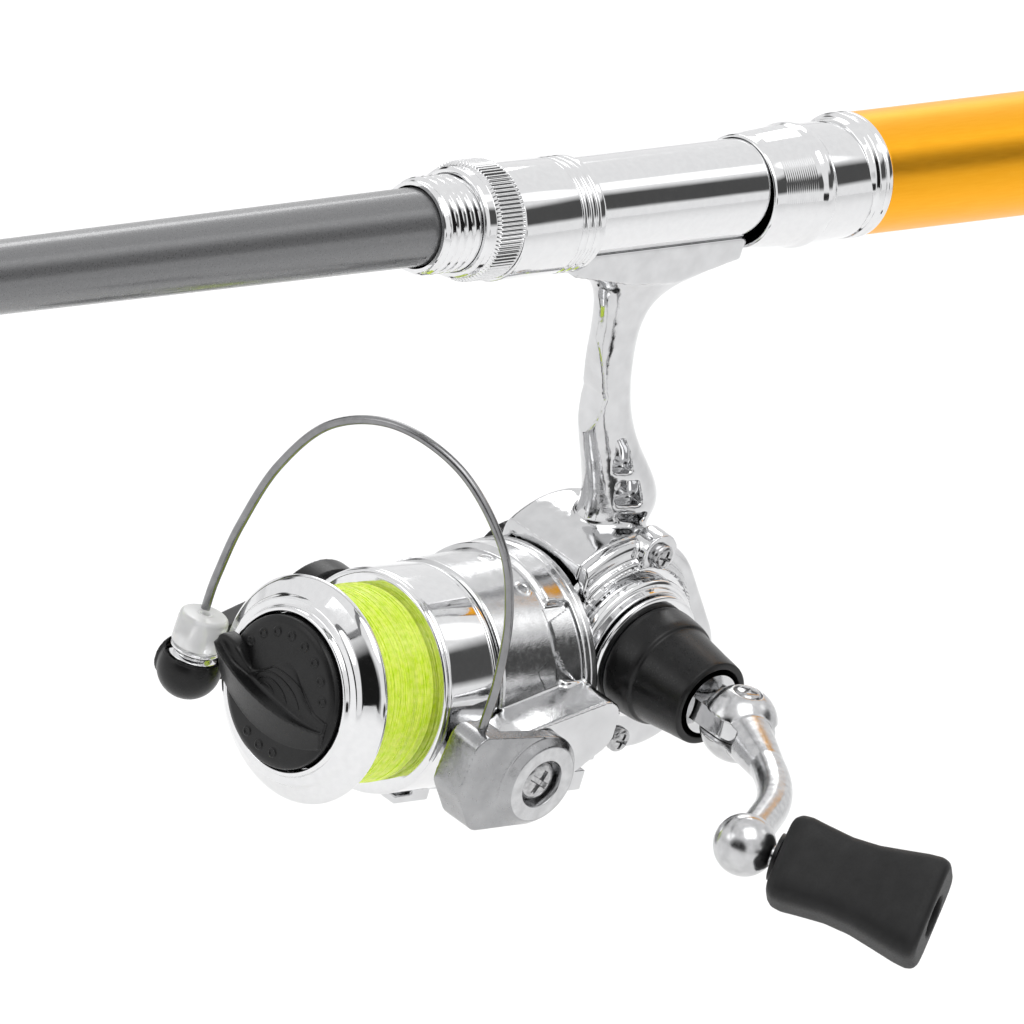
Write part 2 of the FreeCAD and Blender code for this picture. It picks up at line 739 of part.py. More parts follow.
# Crank rod from the hinge to the knob ball: along the rod, out from the reel's axis
CRANK_ELBOW = (-7.7, 49.2)
CRANK_BALL = (-25.0, 60.1)
KNOB_DIRECTION = Vector(0.52, -0.854, 0)


def make_crank():
    """The folding crank: a forked ball, a bent rod and the ball that holds the knob."""
    out = float(D.hinge_out)
    centre = hinge_spot(0, out)
    fork = Part.makeSphere(5.1, centre)
    slot = Part.makeBox(20, 20, 3.1, centre + Vector(-10, -4.4, -1.55))
    elbow = hinge_spot(CRANK_ELBOW[0], CRANK_ELBOW[1])
    ball_centre = hinge_spot(CRANK_BALL[0], CRANK_BALL[1])
    rod = tube_along(bent_path([centre, elbow, ball_centre]), float(D.crank_rod))
    root_direction = elbow - centre
    root_direction.normalize()
    root = Part.makeCone(3.6, float(D.crank_rod), 10.0, centre + root_direction * 2.0,
                         root_direction)
    ball = Part.makeSphere(float(D.ball_radius), ball_centre)
    crank = fork.multiFuse([rod, root, ball])
    crank = crank.cut(slot)
    crank = crank.cut(Part.makeCylinder(4.3, 3.1, centre + Vector(0, 0, -1.55)))
    crank = crank.cut(Part.makeCylinder(1.0 + RUN, 12, centre + Vector(0, 0, -6)))
    crank = crank.cut(Part.makeCylinder(1.4, 8, ball_centre, KNOB_DIRECTION))
    feature("crank_arm", crank)
    spindle = Part.makeCylinder(1.4, 23.0, ball_centre, KNOB_DIRECTION)
    feature("knob_spindle", spindle)


# Knob sections: distance from the ball, half height, half width
KNOB = [(4.9, 5.4, 3.6), (6.2, 6.1, 4.3), (13.0, 5.5, 4.1), (18.0, 6.0, 4.5),
        (24.6, 7.2, 4.9), (26.2, 6.6, 4.3)]


KNOB_ROLL = -38.0       # how far the knob is rolled about its spindle at rest, degrees


def make_knob():
    """The rubber paddle knob and the washer between it and the crank's ball."""
    ball_centre = hinge_spot(CRANK_BALL[0], CRANK_BALL[1])
    across = KNOB_DIRECTION.cross(Vector(0, 0, 1))
    rings = []
    for distance, tall, wide in KNOB:
        centre = ball_centre + KNOB_DIRECTION * distance
        corner = 2.6
        spots = []
        for up, side, first in ((1, 1, 0), (1, -1, 90), (-1, -1, 180), (-1, 1, 270)):
            for step in range(4):
                angle = math.radians(first + 30 * step)
                z = up * (tall - corner) + corner * math.sin(angle)
                y = side * (wide - corner) + corner * math.cos(angle)
                spots.append(centre + across * y + Vector(0, 0, z))
        rings.append(Part.makePolygon(spots + spots[:1]))
    knob = Part.makeLoft(rings, True, False)
    knob.rotate(ball_centre, KNOB_DIRECTION, KNOB_ROLL)
    knob = knob.cut(Part.makeCylinder(1.4 + RUN, 24.0, ball_centre, KNOB_DIRECTION))
    feature("handle_knob", knob)
    washer = Part.makeCylinder(3.2, 0.5, ball_centre + KNOB_DIRECTION * 4.25, KNOB_DIRECTION)
    washer = washer.cut(Part.makeCylinder(1.4 + RUN, 8, ball_centre, KNOB_DIRECTION))
    feature("knob_washer", washer)


# ---------------------------------------------------------------- rotor and bail

def arm_plate(side_first, side_last):
    """Return a rotor arm: a round end at the bail's pivot and a root at the cup's rim."""
    rear = float(D.rotor_rear)
    discs = [(float(D.pivot_station), -float(D.pivot_drop), float(D.arm_round)),
             (rear - 2.6, 0.6, 2.6), (rear - 2.6, 2.9, 2.6)]
    return hull_plate(discs, side_first, side_last)


def make_rotor():
    """The rotor cup with its two arms and its lugs, hollow behind for the housing's nose."""
    front = D.rotor_front
    rear = D.rotor_rear
    cup = turned("rotor_cup", REEL, [
        (20.5, 3.0), (20.5, 5.0), (front + 0.3, 5.0), (front + 0.3, 12.6), (front, 14.2),
        (front + 0.5, 14.8), (37.4, 15.3), (37.9, 16.0), (40.8, 16.1), (41.2, D.rotor_radius),
        (rear, D.rotor_radius), (rear, 14.9), (29.6, 13.5), (29.6, 4.6), (32.0, 4.6),
        (32.0, 3.0)])
    del PARTS["rotor_cup"]
    spool_space = reel_cylinder(15.15, 5, front)
    hollow = Part.makeCone(13.5, 14.9, 13.6, spot(29.6, 0, 0), Vector(1, 0, 0))
    recess = block(37.0, -17, 5.6, 4.0, 9.0, 8.2).cut(reel_cylinder(15.2, 30, 50))
    shape = cup.Shape.cut(recess)
    for first, last in ((-float(D.near_arm_out), -11.0), (11.0, float(D.far_arm_out))):
        arm = arm_plate(first, last)
        arm = arm.cut(spool_space)
        arm = arm.cut(hollow)
        arm = arm.cut(reel_cylinder(12.6, 27, 30))
        shape = shape.fuse(arm)
    lugs = [block(39.8, -18.8, -4.2, 3.4, 4.0, 3.4), block(40.0, -18.0, -9.0, 3.2, 4.6, 2.8),
            block(27.6, -4.4, -16.4, 3.2, 3.2, 2.6), block(24.6, -4.4, -16.4, 3.2, 3.2, 1.1)]
    shape = shape.multiFuse(lugs)
    shape = shape.cut(side_cylinder(1.3, D.pivot_station, -float(D.pivot_drop), -30, -14))
    shape = shape.cut(side_cylinder(1.3, D.pivot_station, -float(D.pivot_drop), 14, 30))
    feature("rotor", shape.removeSplitter())
    turned("rotor_nut", REEL, [(19.0, 3.0), (19.0, 4.4), (20.5, 4.4), (20.5, 3.0)])


def make_pinion():
    """The brass pinion tube that carries the rotor and meshes with the face gear."""
    root = 2.35
    tip = 3.05
    teeth = int(float(D.pinion_teeth))
    corners = []
    for tooth in range(teeth):
        for share, radius in ((0.0, root), (0.3, root), (0.4, tip), (0.75, tip), (0.85, root)):
            angle = 2 * math.pi * (tooth + share) / teeth
            corners.append(spot(41.4, radius * math.cos(angle), radius * math.sin(angle)))
    gear = Part.Face(Part.makePolygon(corners + corners[:1])).extrude(Vector(9.6, 0, 0))
    tube = reel_cylinder(3.0, 19.0, 41.4)
    shape = gear.fuse(tube).cut(reel_cylinder(D.shaft_radius + RUN, 10, 60))
    feature("pinion_gear", shape)


def screw_shape(side, face):
    """Return a cross-head pivot screw whose head sits under a face on one side."""
    station = float(D.pivot_station)
    height = -float(D.pivot_drop)
    sign = -1 if side < 0 else 1
    inner, outer = sorted((sign * 15.6, sign * face))
    head_in, head_out = sorted((sign * (face - 1.5), sign * face))
    shank = side_cylinder(1.3, station, height, inner, outer)
    head = side_cylinder(2.8, station, height, head_in, head_out)
    edges = [edge for edge in head.Edges
             if abs(abs(edge.BoundBox.YMin) - face) < 1e-6
             and abs(edge.BoundBox.YLength) < 1e-6]
    head = head.makeFillet(0.5, edges)
    cross_y = min(sign * face, sign * (face - 0.7))
    shape = head.fuse(shank)
    shape = shape.cut(block(station - 1.6, cross_y, height - 0.3, 3.2, 0.7, 0.6))
    return shape.cut(block(station - 0.3, cross_y, height - 1.6, 0.6, 0.7, 3.2))


def make_bail_screws():
    """The two pivot screws of the bail, fixed in the rotor's arms."""
    feature("bail_screws", Part.makeCompound([screw_shape(-1, 23.6), screw_shape(1, 22.4)]))


def holder_plate(side_first, side_last):
    """Return a slab of the bail holder: a disc at the pivot and a nose in front."""
    discs = [(float(D.pivot_station), -float(D.pivot_drop), float(D.holder_round)),
             (17.6, 1.6, 2.2), (16.9, -3.6, 2.2), (20.2, -7.3, 2.6)]
    return hull_plate(discs, side_first, side_last)


def make_holder():
    """The near bail holder: a recessed disc on the pivot and a nose for the wire."""
    station = float(D.pivot_station)
    height = -float(D.pivot_drop)
    outer = -float(D.holder_out)
    inner = -float(D.near_arm_out) - GAP
    nose = holder_plate(-18.0, inner)
    nose = nose.cut(side_cylinder(float(D.arm_round) + 0.35, station, height, -30, -10))
    nose = nose.common(block(8, -30, -20, 13.2, 30, 40))
    plate = holder_plate(outer + 1.0, inner)
    face = Part.makeCone(5.4, float(D.holder_round), 1.0, spot(station, outer, height),
                         Vector(0, 1, 0))
    holder = plate.multiFuse([face, nose])
    holder = holder.cut(side_cylinder(3.6, station, height, outer - 1, outer + 1.95))
    holder = holder.cut(side_cylinder(1.3 + RUN, station, height, -30, -10))
    socket = Part.makeCylinder(float(D.wire_radius), 5.0, spot(*WIRE_ROUTE[0]))
    feature("bail_holder", holder.cut(socket).removeSplitter())


BULB_HEIGHT = -6.7      # centre of the far arm's ball, above the reel's axis

# The bail wire's route: station, side and height about the reel's axis
WIRE_ROUTE = [
    (18.3, -20.5, 0.2), (18.3, -20.5, 11.0), (17.2, -20.0, 20.4), (15.1, -17.2, 29.2),
    (12.0, -9.6, 36.3), (9.0, 0.4, 37.9), (7.3, 9.6, 33.4), (6.2, 15.0, 24.6),
    (5.6, 17.8, 14.6), (5.4, 19.0, 7.0), (5.4, 19.0, 0.2)]


def make_bail_wire():
    """The spring-steel arch that lays the line on the roller."""
    points = [spot(*place_at) for place_at in WIRE_ROUTE]
    feature("bail_wire", tube_along(bent_path(points), float(D.wire_radius)))


def make_roller_end():
    """The far bail arm, the roller cap that holds the wire, the roller and its pin."""
    station = float(D.pivot_station)
    height = -float(D.pivot_drop)
    centre_x = float(D.roller_station)
    side = float(D.roller_side)
    inner = float(D.far_arm_out) + GAP
    disc = side_cylinder(8.2, station, height, inner, inner + 3.0)
    lever = hull_plate([(24.0, -4.0, 6.0), (centre_x, BULB_HEIGHT, 2.9)], inner, inner + 3.0)
    bulb = Part.makeSphere(4.2, spot(centre_x, side, BULB_HEIGHT))
    arm = disc.multiFuse([lever, bulb])
    arm = arm.cut(side_cylinder(3.6, station, height, inner + 1.2, 40))
    arm = arm.cut(side_cylinder(1.3 + RUN, station, height, 0, 40))
    arm = arm.cut(Part.makeCylinder(3.7, 6.0, spot(centre_x, side, -5.6), Vector(0, 0, 1)))
    arm = arm.cut(Part.makeCylinder(0.8, 12.0, spot(centre_x, side, -9.5), Vector(0, 0, 1)))
    arm = arm.cut(reel_cylinder(15.2, 0, 30))
    feature("bail_arm", arm.removeSplitter())
    turned("roller_cap", ROLLER, [
        (-3.4, 0.8), (-3.4, 3.4), (0.6, 3.4), (1.0, 3.0), (1.0, 0.6), (-1.4, 0.6), (-1.4, 0.8)])
    turned("roller_pin", ROLLER, [(-9.0, 0), (-9.0, 0.8), (-1.6, 0.8), (-1.6, 0)])
    turned("line_roller", ROLLER, [
        (-5.3, 0.8 + RUN), (-5.3, 3.1), (-4.9, 3.1), (-4.4, 2.3), (-4.0, 3.1), (-3.6, 3.1),
        (-3.6, 0.8 + RUN)])


# ---------------------------------------------------------------- spool, shaft and drag

def make_spool():
    """The spool with its stepped lip and skirt, and the line wound on it."""
    front = D.spool_front
    step = front + 0.95
    turned("spool", REEL, [
        (front, 10.4), (front, 10.9), (front + 0.8, 11.1), (step, 12.3), (step + 0.6, 12.6),
        (step + 1.7, 14.3), (step + 2.2, 14.75), (step + 2.6, D.lip_radius),
        (step + 3.0, 14.75), (D.line_front - 0.4, 14.2), (D.line_front, 13.4),
        (D.line_front, D.barrel_radius), (D.line_rear, D.barrel_radius), (D.line_rear, 14.1),
        (D.line_rear + 0.4, 14.6), (D.line_rear + 0.9, D.skirt_radius),
        (D.skirt_rear - 0.4, D.skirt_radius), (D.skirt_rear, D.skirt_radius - 0.4),
        (D.skirt_rear, D.skirt_bore), (D.line_rear + 1.3, D.skirt_bore),
        (D.line_rear + 1.3, D.shaft_radius + RUN), (8.6, D.shaft_radius + RUN),
        (8.6, D.drag_bore), (5.3, D.drag_bore), (5.3, 10.4)])
    turned("line_winding", REEL, [
        (D.line_front, D.barrel_radius), (D.line_front, D.line_radius - 0.2),
        (D.line_front + 0.5, D.line_radius), (D.line_rear - 0.5, D.line_radius),
        (D.line_rear, D.line_radius - 0.2), (D.line_rear, D.barrel_radius)])


def make_shaft():
    """The main shaft, which slides to lay the line evenly, and its slider block."""
    turned("main_shaft", REEL, [
        (2.7, 0), (2.7, D.shaft_radius), (62.0, D.shaft_radius), (62.0, 0)])
    slider = block(62.0, -2.6, -3.4, 5.0, 5.2, 5.4)
    slot = block(63.4, -3.0, -2.4, 2.2, 1.4, 3.4)
    feature("slider_block", slider.cut(slot))


def make_drag():
    """The drag washers, their retaining ring, the spring and the front drag knob."""
    washers = []
    for layer in range(3):
        at = 5.95 + 0.85 * layer
        disc = reel_cylinder(D.drag_bore - 0.1, at, at + 0.75)
        washers.append(disc.cut(reel_cylinder(D.shaft_radius + RUN, at - 1, at + 2)))
    feature("drag_washers", Part.makeCompound(washers))
    ring = reel_cylinder(D.drag_bore, 5.45, 5.85).cut(reel_cylinder(6.2, 5, 6))
    gap = block(5, -1.2, 5.0, 2, 2.4, 4.0)
    feature("retaining_ring", ring.cut(gap))
    turn = D.knob_front
    knob = turned("drag_knob_turned", REEL, [
        (turn, 0), (turn, D.knob_radius - 0.7), (turn + 0.5, D.knob_radius),
        (4.9, D.knob_radius), (4.9, 4.0), (3.4, 4.0), (3.4, D.shaft_radius + RUN),
        (2.6, D.shaft_radius + RUN), (2.6, 0)])
    del PARTS["drag_knob_turned"]
    bar = block(-1.3, -8.6, -3.5, 3.3, 19.8, 7.0)
    bar = bar.makeFillet(1.3, [edge for edge in bar.Edges
                               if edge.BoundBox.XMax < float(SEAT_FRONT) - 1.2
                               or edge.BoundBox.XLength > 1])
    feature("drag_knob", knob.Shape.fuse(bar))
    coil = []
    for step in range(25):
        angle = math.radians(30 * step)
        coil.append(spot(3.75 + 0.055 * step, 2.9 * math.cos(angle), 2.9 * math.sin(angle)))
    feature("drag_spring", tube_along(bent_path(coil), 0.22))


BUILDERS = [
    make_grip, make_seat, make_rear_hood, make_clamp, make_sections, make_housing, make_cover,
    make_cover_screws, make_bushes, make_drive, make_hub, make_crank, make_knob, make_rotor,
    make_pinion, make_bail_screws, make_holder, make_bail_wire, make_roller_end, make_spool,
    make_shaft, make_drag]

for builder in BUILDERS:
    builder()
DOC.recompute()

# Every object has to be sound before anything is written
for item in DOC.Objects:
    if "Invalid" in item.State or "Error" in item.State:
        raise RuntimeError(f"{item.Name} failed to build: {item.State}")
for label, item in PARTS.items():
    if item.Shape.isNull() or not item.Shape.isValid():
        raise RuntimeError(f"{label} is not a sound shape")
    if not item.Shape.Solids:
        raise RuntimeError(f"{label} has no solid")

for label, item in PARTS.items():
    item.Shape.exportStep(f"parts/{label}.step")
    box = item.Shape.BoundBox
    print(f"{label}: {len(item.Shape.Solids)} solid, {item.Shape.Volume:.1f} mm3, "
          f"{box.XLength:.1f} x {box.YLength:.1f} x {box.ZLength:.1f}")
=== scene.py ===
import json
import math

import bmesh
import bpy
import numpy as np
from mathutils import Matrix, Vector


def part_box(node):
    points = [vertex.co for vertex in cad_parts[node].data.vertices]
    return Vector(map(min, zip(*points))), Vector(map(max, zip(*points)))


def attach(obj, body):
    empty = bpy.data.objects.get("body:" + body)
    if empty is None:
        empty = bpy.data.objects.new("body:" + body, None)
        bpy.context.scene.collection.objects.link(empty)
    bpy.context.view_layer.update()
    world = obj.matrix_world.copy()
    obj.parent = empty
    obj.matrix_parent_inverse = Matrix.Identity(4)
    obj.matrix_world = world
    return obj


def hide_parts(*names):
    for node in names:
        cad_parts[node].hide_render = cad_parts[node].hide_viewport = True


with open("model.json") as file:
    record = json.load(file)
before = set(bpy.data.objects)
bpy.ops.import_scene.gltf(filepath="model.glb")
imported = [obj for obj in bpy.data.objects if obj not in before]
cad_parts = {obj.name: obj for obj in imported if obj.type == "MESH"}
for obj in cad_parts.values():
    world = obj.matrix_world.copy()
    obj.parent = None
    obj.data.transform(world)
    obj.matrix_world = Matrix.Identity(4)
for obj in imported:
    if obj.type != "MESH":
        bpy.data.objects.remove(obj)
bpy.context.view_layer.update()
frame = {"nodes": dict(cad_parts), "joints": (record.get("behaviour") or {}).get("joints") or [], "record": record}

MM = 0.001
NODES = frame["nodes"]
JOINTS = {joint["name"]: joint for joint in frame["joints"]}


# ------------------------------------------------------------------ places, from the frame

def middle(node):
    """Return the centre of a CAD node's box."""
    low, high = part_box(node)
    return (low + high) / 2


def reach(node):
    """Return a turned node's first and last station, and its outer radius."""
    low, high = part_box(node)
    return (low.x - SEAT_X) / MM, (high.x - SEAT_X) / MM, (high.z - low.z) / 2 / MM


SEAT_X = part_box("threaded_ferrule")[0].x           # front face of the reel seat
REEL_Z = middle("line_winding").z                  # the spool's axis
CRANK = middle("far_cap")                          # the crank shaft's axis, by x and z
PIVOT = middle("bail_screws")                      # the bail's axis, by x and z
HINGE = Vector(JOINTS["crank_fold"]["pos_m"])
BALL = Vector(JOINTS["knob_turn"]["pos_m"])
KNOB_AXIS = Vector(JOINTS["knob_turn"]["axis"]).normalized()
ROLLER = Vector(JOINTS["roller_turn"]["pos_m"])
FLOOR_DROP = 0.10           # the floor's depth below the reel, in metres
FLOOR_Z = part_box("reel_housing")[0].z - FLOOR_DROP


# ------------------------------------------------------------------ camera, light and stage

# The view's right and towards-camera directions
VIEW_RIGHT = Vector((0.708, -0.652, 0.2716))
VIEW_BACK = Vector((-0.7004, -0.5990, 0.3879))
VIEW_WIDTH = 0.1308         # metres across the frame at the object
VIEW_DISTANCE = 6.0
SENSOR = 36.0
AIM = (5.73, -25.22, 39.2)  # station, side and height over the reel's axis, in millimetres


def make_camera():
    """A long lens from the front left, rolled as a hand-held product shot is."""
    back = VIEW_BACK.normalized()
    right = (VIEW_RIGHT - back * VIEW_RIGHT.dot(back)).normalized()
    up = back.cross(right)
    station, side, height = AIM
    target = Vector((SEAT_X + station * MM, side * MM, REEL_Z + height * MM))
    data = bpy.data.cameras.new("camera")
    data.sensor_width = SENSOR
    data.lens = SENSOR * VIEW_DISTANCE / VIEW_WIDTH
    data.clip_start = 0.05
    data.clip_end = 50
    camera = bpy.data.objects.new("camera", data)
    bpy.context.scene.collection.objects.link(camera)
    turn = Matrix((right, up, back)).transposed()
    camera.matrix_world = Matrix.Translation(target + back * VIEW_DISTANCE) @ turn.to_4x4()
    bpy.context.scene.camera = camera


def area_light(name, place, aim, size, power):
    """Add a soft square light that looks at a point."""
    data = bpy.data.lights.new(name, "AREA")
    data.energy = power
    data.shape = "RECTANGLE"
    data.size = size
    data.size_y = size
    light = bpy.data.objects.new(name, data)
    bpy.context.scene.collection.objects.link(light)
    light.location = place
    direction = Vector(aim) - Vector(place)
    light.rotation_euler = direction.to_track_quat("-Z", "Y").to_euler()


# Patches of the sky: centre direction, half size along each axis, and grey value
CARDS = [
    ((-0.86, -0.30, 0.12), (0.42, 0.60, 0.46), 0.012),    # dark, round the camera
    ((0.72, -0.58, 0.40), (0.80, 0.50, 0.22), 0.085),     # dark, right of the object
    ((0.10, -0.98, 0.10), (0.30, 0.30, 0.12), 0.03),      # dark, low at the near side
    ((0.15, 0.95, 0.22), (0.35, 0.40, 0.12), 0.03),       # dark, low at the far side
    ((0.70, -0.22, 0.68), (0.50, 0.12, 0.10), 1.7)]       # a bright strip above the right one
CARD_EDGE = (0.70, 1.08)    # where a card starts to fade and ends, as a share of its size
TENT_WHITE = (0.96, 0.96, 0.965, 1)


def sky_card(tree, direction, centre, size, grey, under):
    """Lay a soft-edged grey patch over a world colour, round a direction of the sky."""
    shift = tree.nodes.new("ShaderNodeVectorMath")
    shift.operation = "SUBTRACT"
    shift.inputs[1].default_value = centre
    shrink = tree.nodes.new("ShaderNodeVectorMath")
    shrink.operation = "DIVIDE"
    shrink.inputs[1].default_value = size
    away = tree.nodes.new("ShaderNodeVectorMath")
    away.operation = "LENGTH"
    soft = tree.nodes.new("ShaderNodeMapRange")
    soft.inputs["From Min"].default_value = CARD_EDGE[0]
    soft.inputs["From Max"].default_value = CARD_EDGE[1]
    patch = tree.nodes.new("ShaderNodeMix")
    patch.data_type = "RGBA"
    patch.inputs["A"].default_value = (grey, grey, grey, 1)
    tree.links.new(direction, shift.inputs[0])
    tree.links.new(shift.outputs["Vector"], shrink.inputs[0])
    tree.links.new(shrink.outputs["Vector"], away.inputs[0])
    tree.links.new(away.outputs["Value"], soft.inputs["Value"])
    tree.links.new(soft.outputs["Result"], patch.inputs["Factor"])
    if isinstance(under, tuple):
        patch.inputs["B"].default_value = under
    else:
        tree.links.new(under, patch.inputs["B"])
    return patch.outputs["Result"]


def make_world():
    """A white light tent with dark cards and one bright strip."""
    world = bpy.data.worlds.new("tent")
    world.use_nodes = True
    tree = world.node_tree
    tree.nodes.clear()
    out = tree.nodes.new("ShaderNodeOutputWorld")
    ground = tree.nodes.new("ShaderNodeBackground")
    direction = tree.nodes.new("ShaderNodeTexCoord").outputs["Generated"]
    color = TENT_WHITE
    for centre, size, grey in CARDS:
        color = sky_card(tree, direction, centre, size, grey, color)
    tree.links.new(color, ground.inputs["Color"])
    tree.links.new(ground.outputs[0], out.inputs[0])
    bpy.context.scene.world = world


def make_stage():
    """A plain pale floor below the held rod."""
    bpy.ops.mesh.primitive_plane_add(size=8, location=(0, 0, FLOOR_Z))
    floor = bpy.context.active_object
    floor.name = "floor"
    surface = bpy.data.materials.new("floor_white")
    surface.use_nodes = True
    shader = surface.node_tree.nodes["Principled BSDF"]
    shader.inputs["Base Color"].default_value = (0.93, 0.93, 0.93, 1)
    shader.inputs["Roughness"].default_value = 0.9
    floor.data.materials.append(surface)


# ------------------------------------------------------------------ materials

TEXTURE_MIDDLE = (0.3, 0.7)     # the range that most of a noise's values lie in


class Surface:
    """A node material under construction, with short calls for the usual nodes."""

    def __init__(self, name, color, rough, metallic):
        self.material = bpy.data.materials.new(name)
        self.material.use_nodes = True
        self.nodes = self.material.node_tree.nodes
        self.links = self.material.node_tree.links
        self.shader = self.nodes["Principled BSDF"]
        self.set("Base Color", (*color, 1))
        self.set("Roughness", rough)
        self.set("Metallic", metallic)
        self.place = self.nodes.new("ShaderNodeTexCoord").outputs["Object"]

    def set(self, socket, value):
        self.shader.inputs[socket].default_value = value

    def link(self, source, socket):
        self.links.new(source, self.shader.inputs[socket])

    def scaled(self, scale):
        """Object coordinates in millimetres times a scale along each axis."""
        node = self.nodes.new("ShaderNodeMapping")
        node.inputs["Scale"].default_value = [1000 * part for part in scale]
        self.links.new(self.place, node.inputs["Vector"])
        return node.outputs["Vector"]

    def noise(self, scale, detail):
        """A noise of a scale in cycles per millimetre, along each axis or all alike."""
        if not isinstance(scale, tuple):
            scale = (scale, scale, scale)
        node = self.nodes.new("ShaderNodeTexNoise")
        node.inputs["Scale"].default_value = 1.0
        node.inputs["Detail"].default_value = detail
        node.inputs["Roughness"].default_value = 0.5
        self.links.new(self.scaled(scale), node.inputs["Vector"])
        return node.outputs["Fac"]

    def gloss(self, source, low, high):
        """Set the roughness between two values by a texture's middle values."""
        node = self.nodes.new("ShaderNodeMapRange")
        node.inputs["From Min"].default_value = TEXTURE_MIDDLE[0]
        node.inputs["From Max"].default_value = TEXTURE_MIDDLE[1]
        node.inputs["To Min"].default_value = low
        node.inputs["To Max"].default_value = high
        self.links.new(source, node.inputs["Value"])
        self.link(node.outputs["Result"], "Roughness")

    def tint(self, source, dark, light):
        """Colour from dark to light by a texture's middle values."""
        node = self.nodes.new("ShaderNodeValToRGB")
        for element, place, color in zip(node.color_ramp.elements, TEXTURE_MIDDLE, (dark, light)):
            element.position = place
            element.color = (*color, 1)
        self.links.new(source, node.inputs["Fac"])
        self.link(node.outputs["Color"], "Base Color")

    def bump(self, source, depth):
        """Raise the surface by depth millimetres times a texture, over earlier bumps."""
        node = self.nodes.new("ShaderNodeBump")
        node.inputs["Strength"].default_value = 1.0
        node.inputs["Distance"].default_value = depth * MM
        self.links.new(source, node.inputs["Height"])
        normal = self.shader.inputs["Normal"]
        if normal.is_linked:
            self.links.new(normal.links[0].from_socket, node.inputs["Normal"])
        self.links.new(node.outputs["Normal"], normal)


def finish(name, color, rough, metallic, tint, gloss, bumps=(), **sockets):
    """Make a material from its middle values and its textures, each a noise with its range.

    tint is (scale, detail, dark, light), gloss (scale, detail, low, high) for the roughness,
    and each bump (scale, detail, depth in millimetres).
    """
    paint = Surface(name, color, rough, metallic)
    paint.tint(paint.noise(*tint[:2]), *tint[2:])
    if gloss:
        paint.gloss(paint.noise(*gloss[:2]), *gloss[2:])
    for scale, detail, depth in bumps:
        paint.bump(paint.noise(scale, detail), depth)
    for socket, value in sockets.items():
        paint.set(socket.replace("_", " "), value)
    return paint.material


def plate_grey(value):
    """Return the plating's grey, a little on the blue side."""
    return (value, value + 0.002, value + 0.008)


# Bright plating over cast parts: slow ripples, fine pits and a few dull spots
CAST_CHROME = finish(
    "chrome_cast", plate_grey(0.62), 0.08, 1.0,
    (0.4, 2, plate_grey(0.58), plate_grey(0.66)), (0.9, 4, 0.05, 0.12),
    [(0.30, 2, 0.09), (6, 2, 0.0035)])
# Bright plating over turned parts: fine tool lines round the axis
TURNED_CHROME = finish(
    "chrome_turned", plate_grey(0.77), 0.07, 1.0,
    (1.1, 3, plate_grey(0.75), (0.79, 0.792, 0.796)),
    ((0.3, 0.8, 0.8), 4, 0.04, 0.10), [((7, 0.10, 0.10), 3, 0.0005), ((0.12, 0.3, 0.3), 2, 0.012)])
# Duller plating over the crank: a fine tumbled grain
SATIN_CHROME = finish(
    "chrome_satin", plate_grey(0.56), 0.20, 1.0,
    (0.8, 3, plate_grey(0.48), plate_grey(0.61)), (1.2, 4, 0.15, 0.26),
    [(0.30, 2, 0.05), (9, 3, 0.004)])
# Darker plating over the bail holder: a shaded copy of the plating, painted shade, with dull spots
SHADED_CHROME = finish(
    "chrome_painted_shade", plate_grey(0.36), 0.22, 1.0,
    (0.25, 2, plate_grey(0.31), plate_grey(0.41)), (1.6, 4, 0.14, 0.30),
    [(0.35, 2, 0.06), (9, 3, 0.005)])
# Bright plating over the rotor, with the soft speckle of a cast skin
SPECKLED_CHROME = finish(
    "chrome_speckled", plate_grey(0.66), 0.14, 1.0,
    (0.25, 2, plate_grey(0.58), plate_grey(0.67)), (1.4, 4, 0.09, 0.22),
    [(0.35, 2, 0.05), (5, 3, 0.012)])

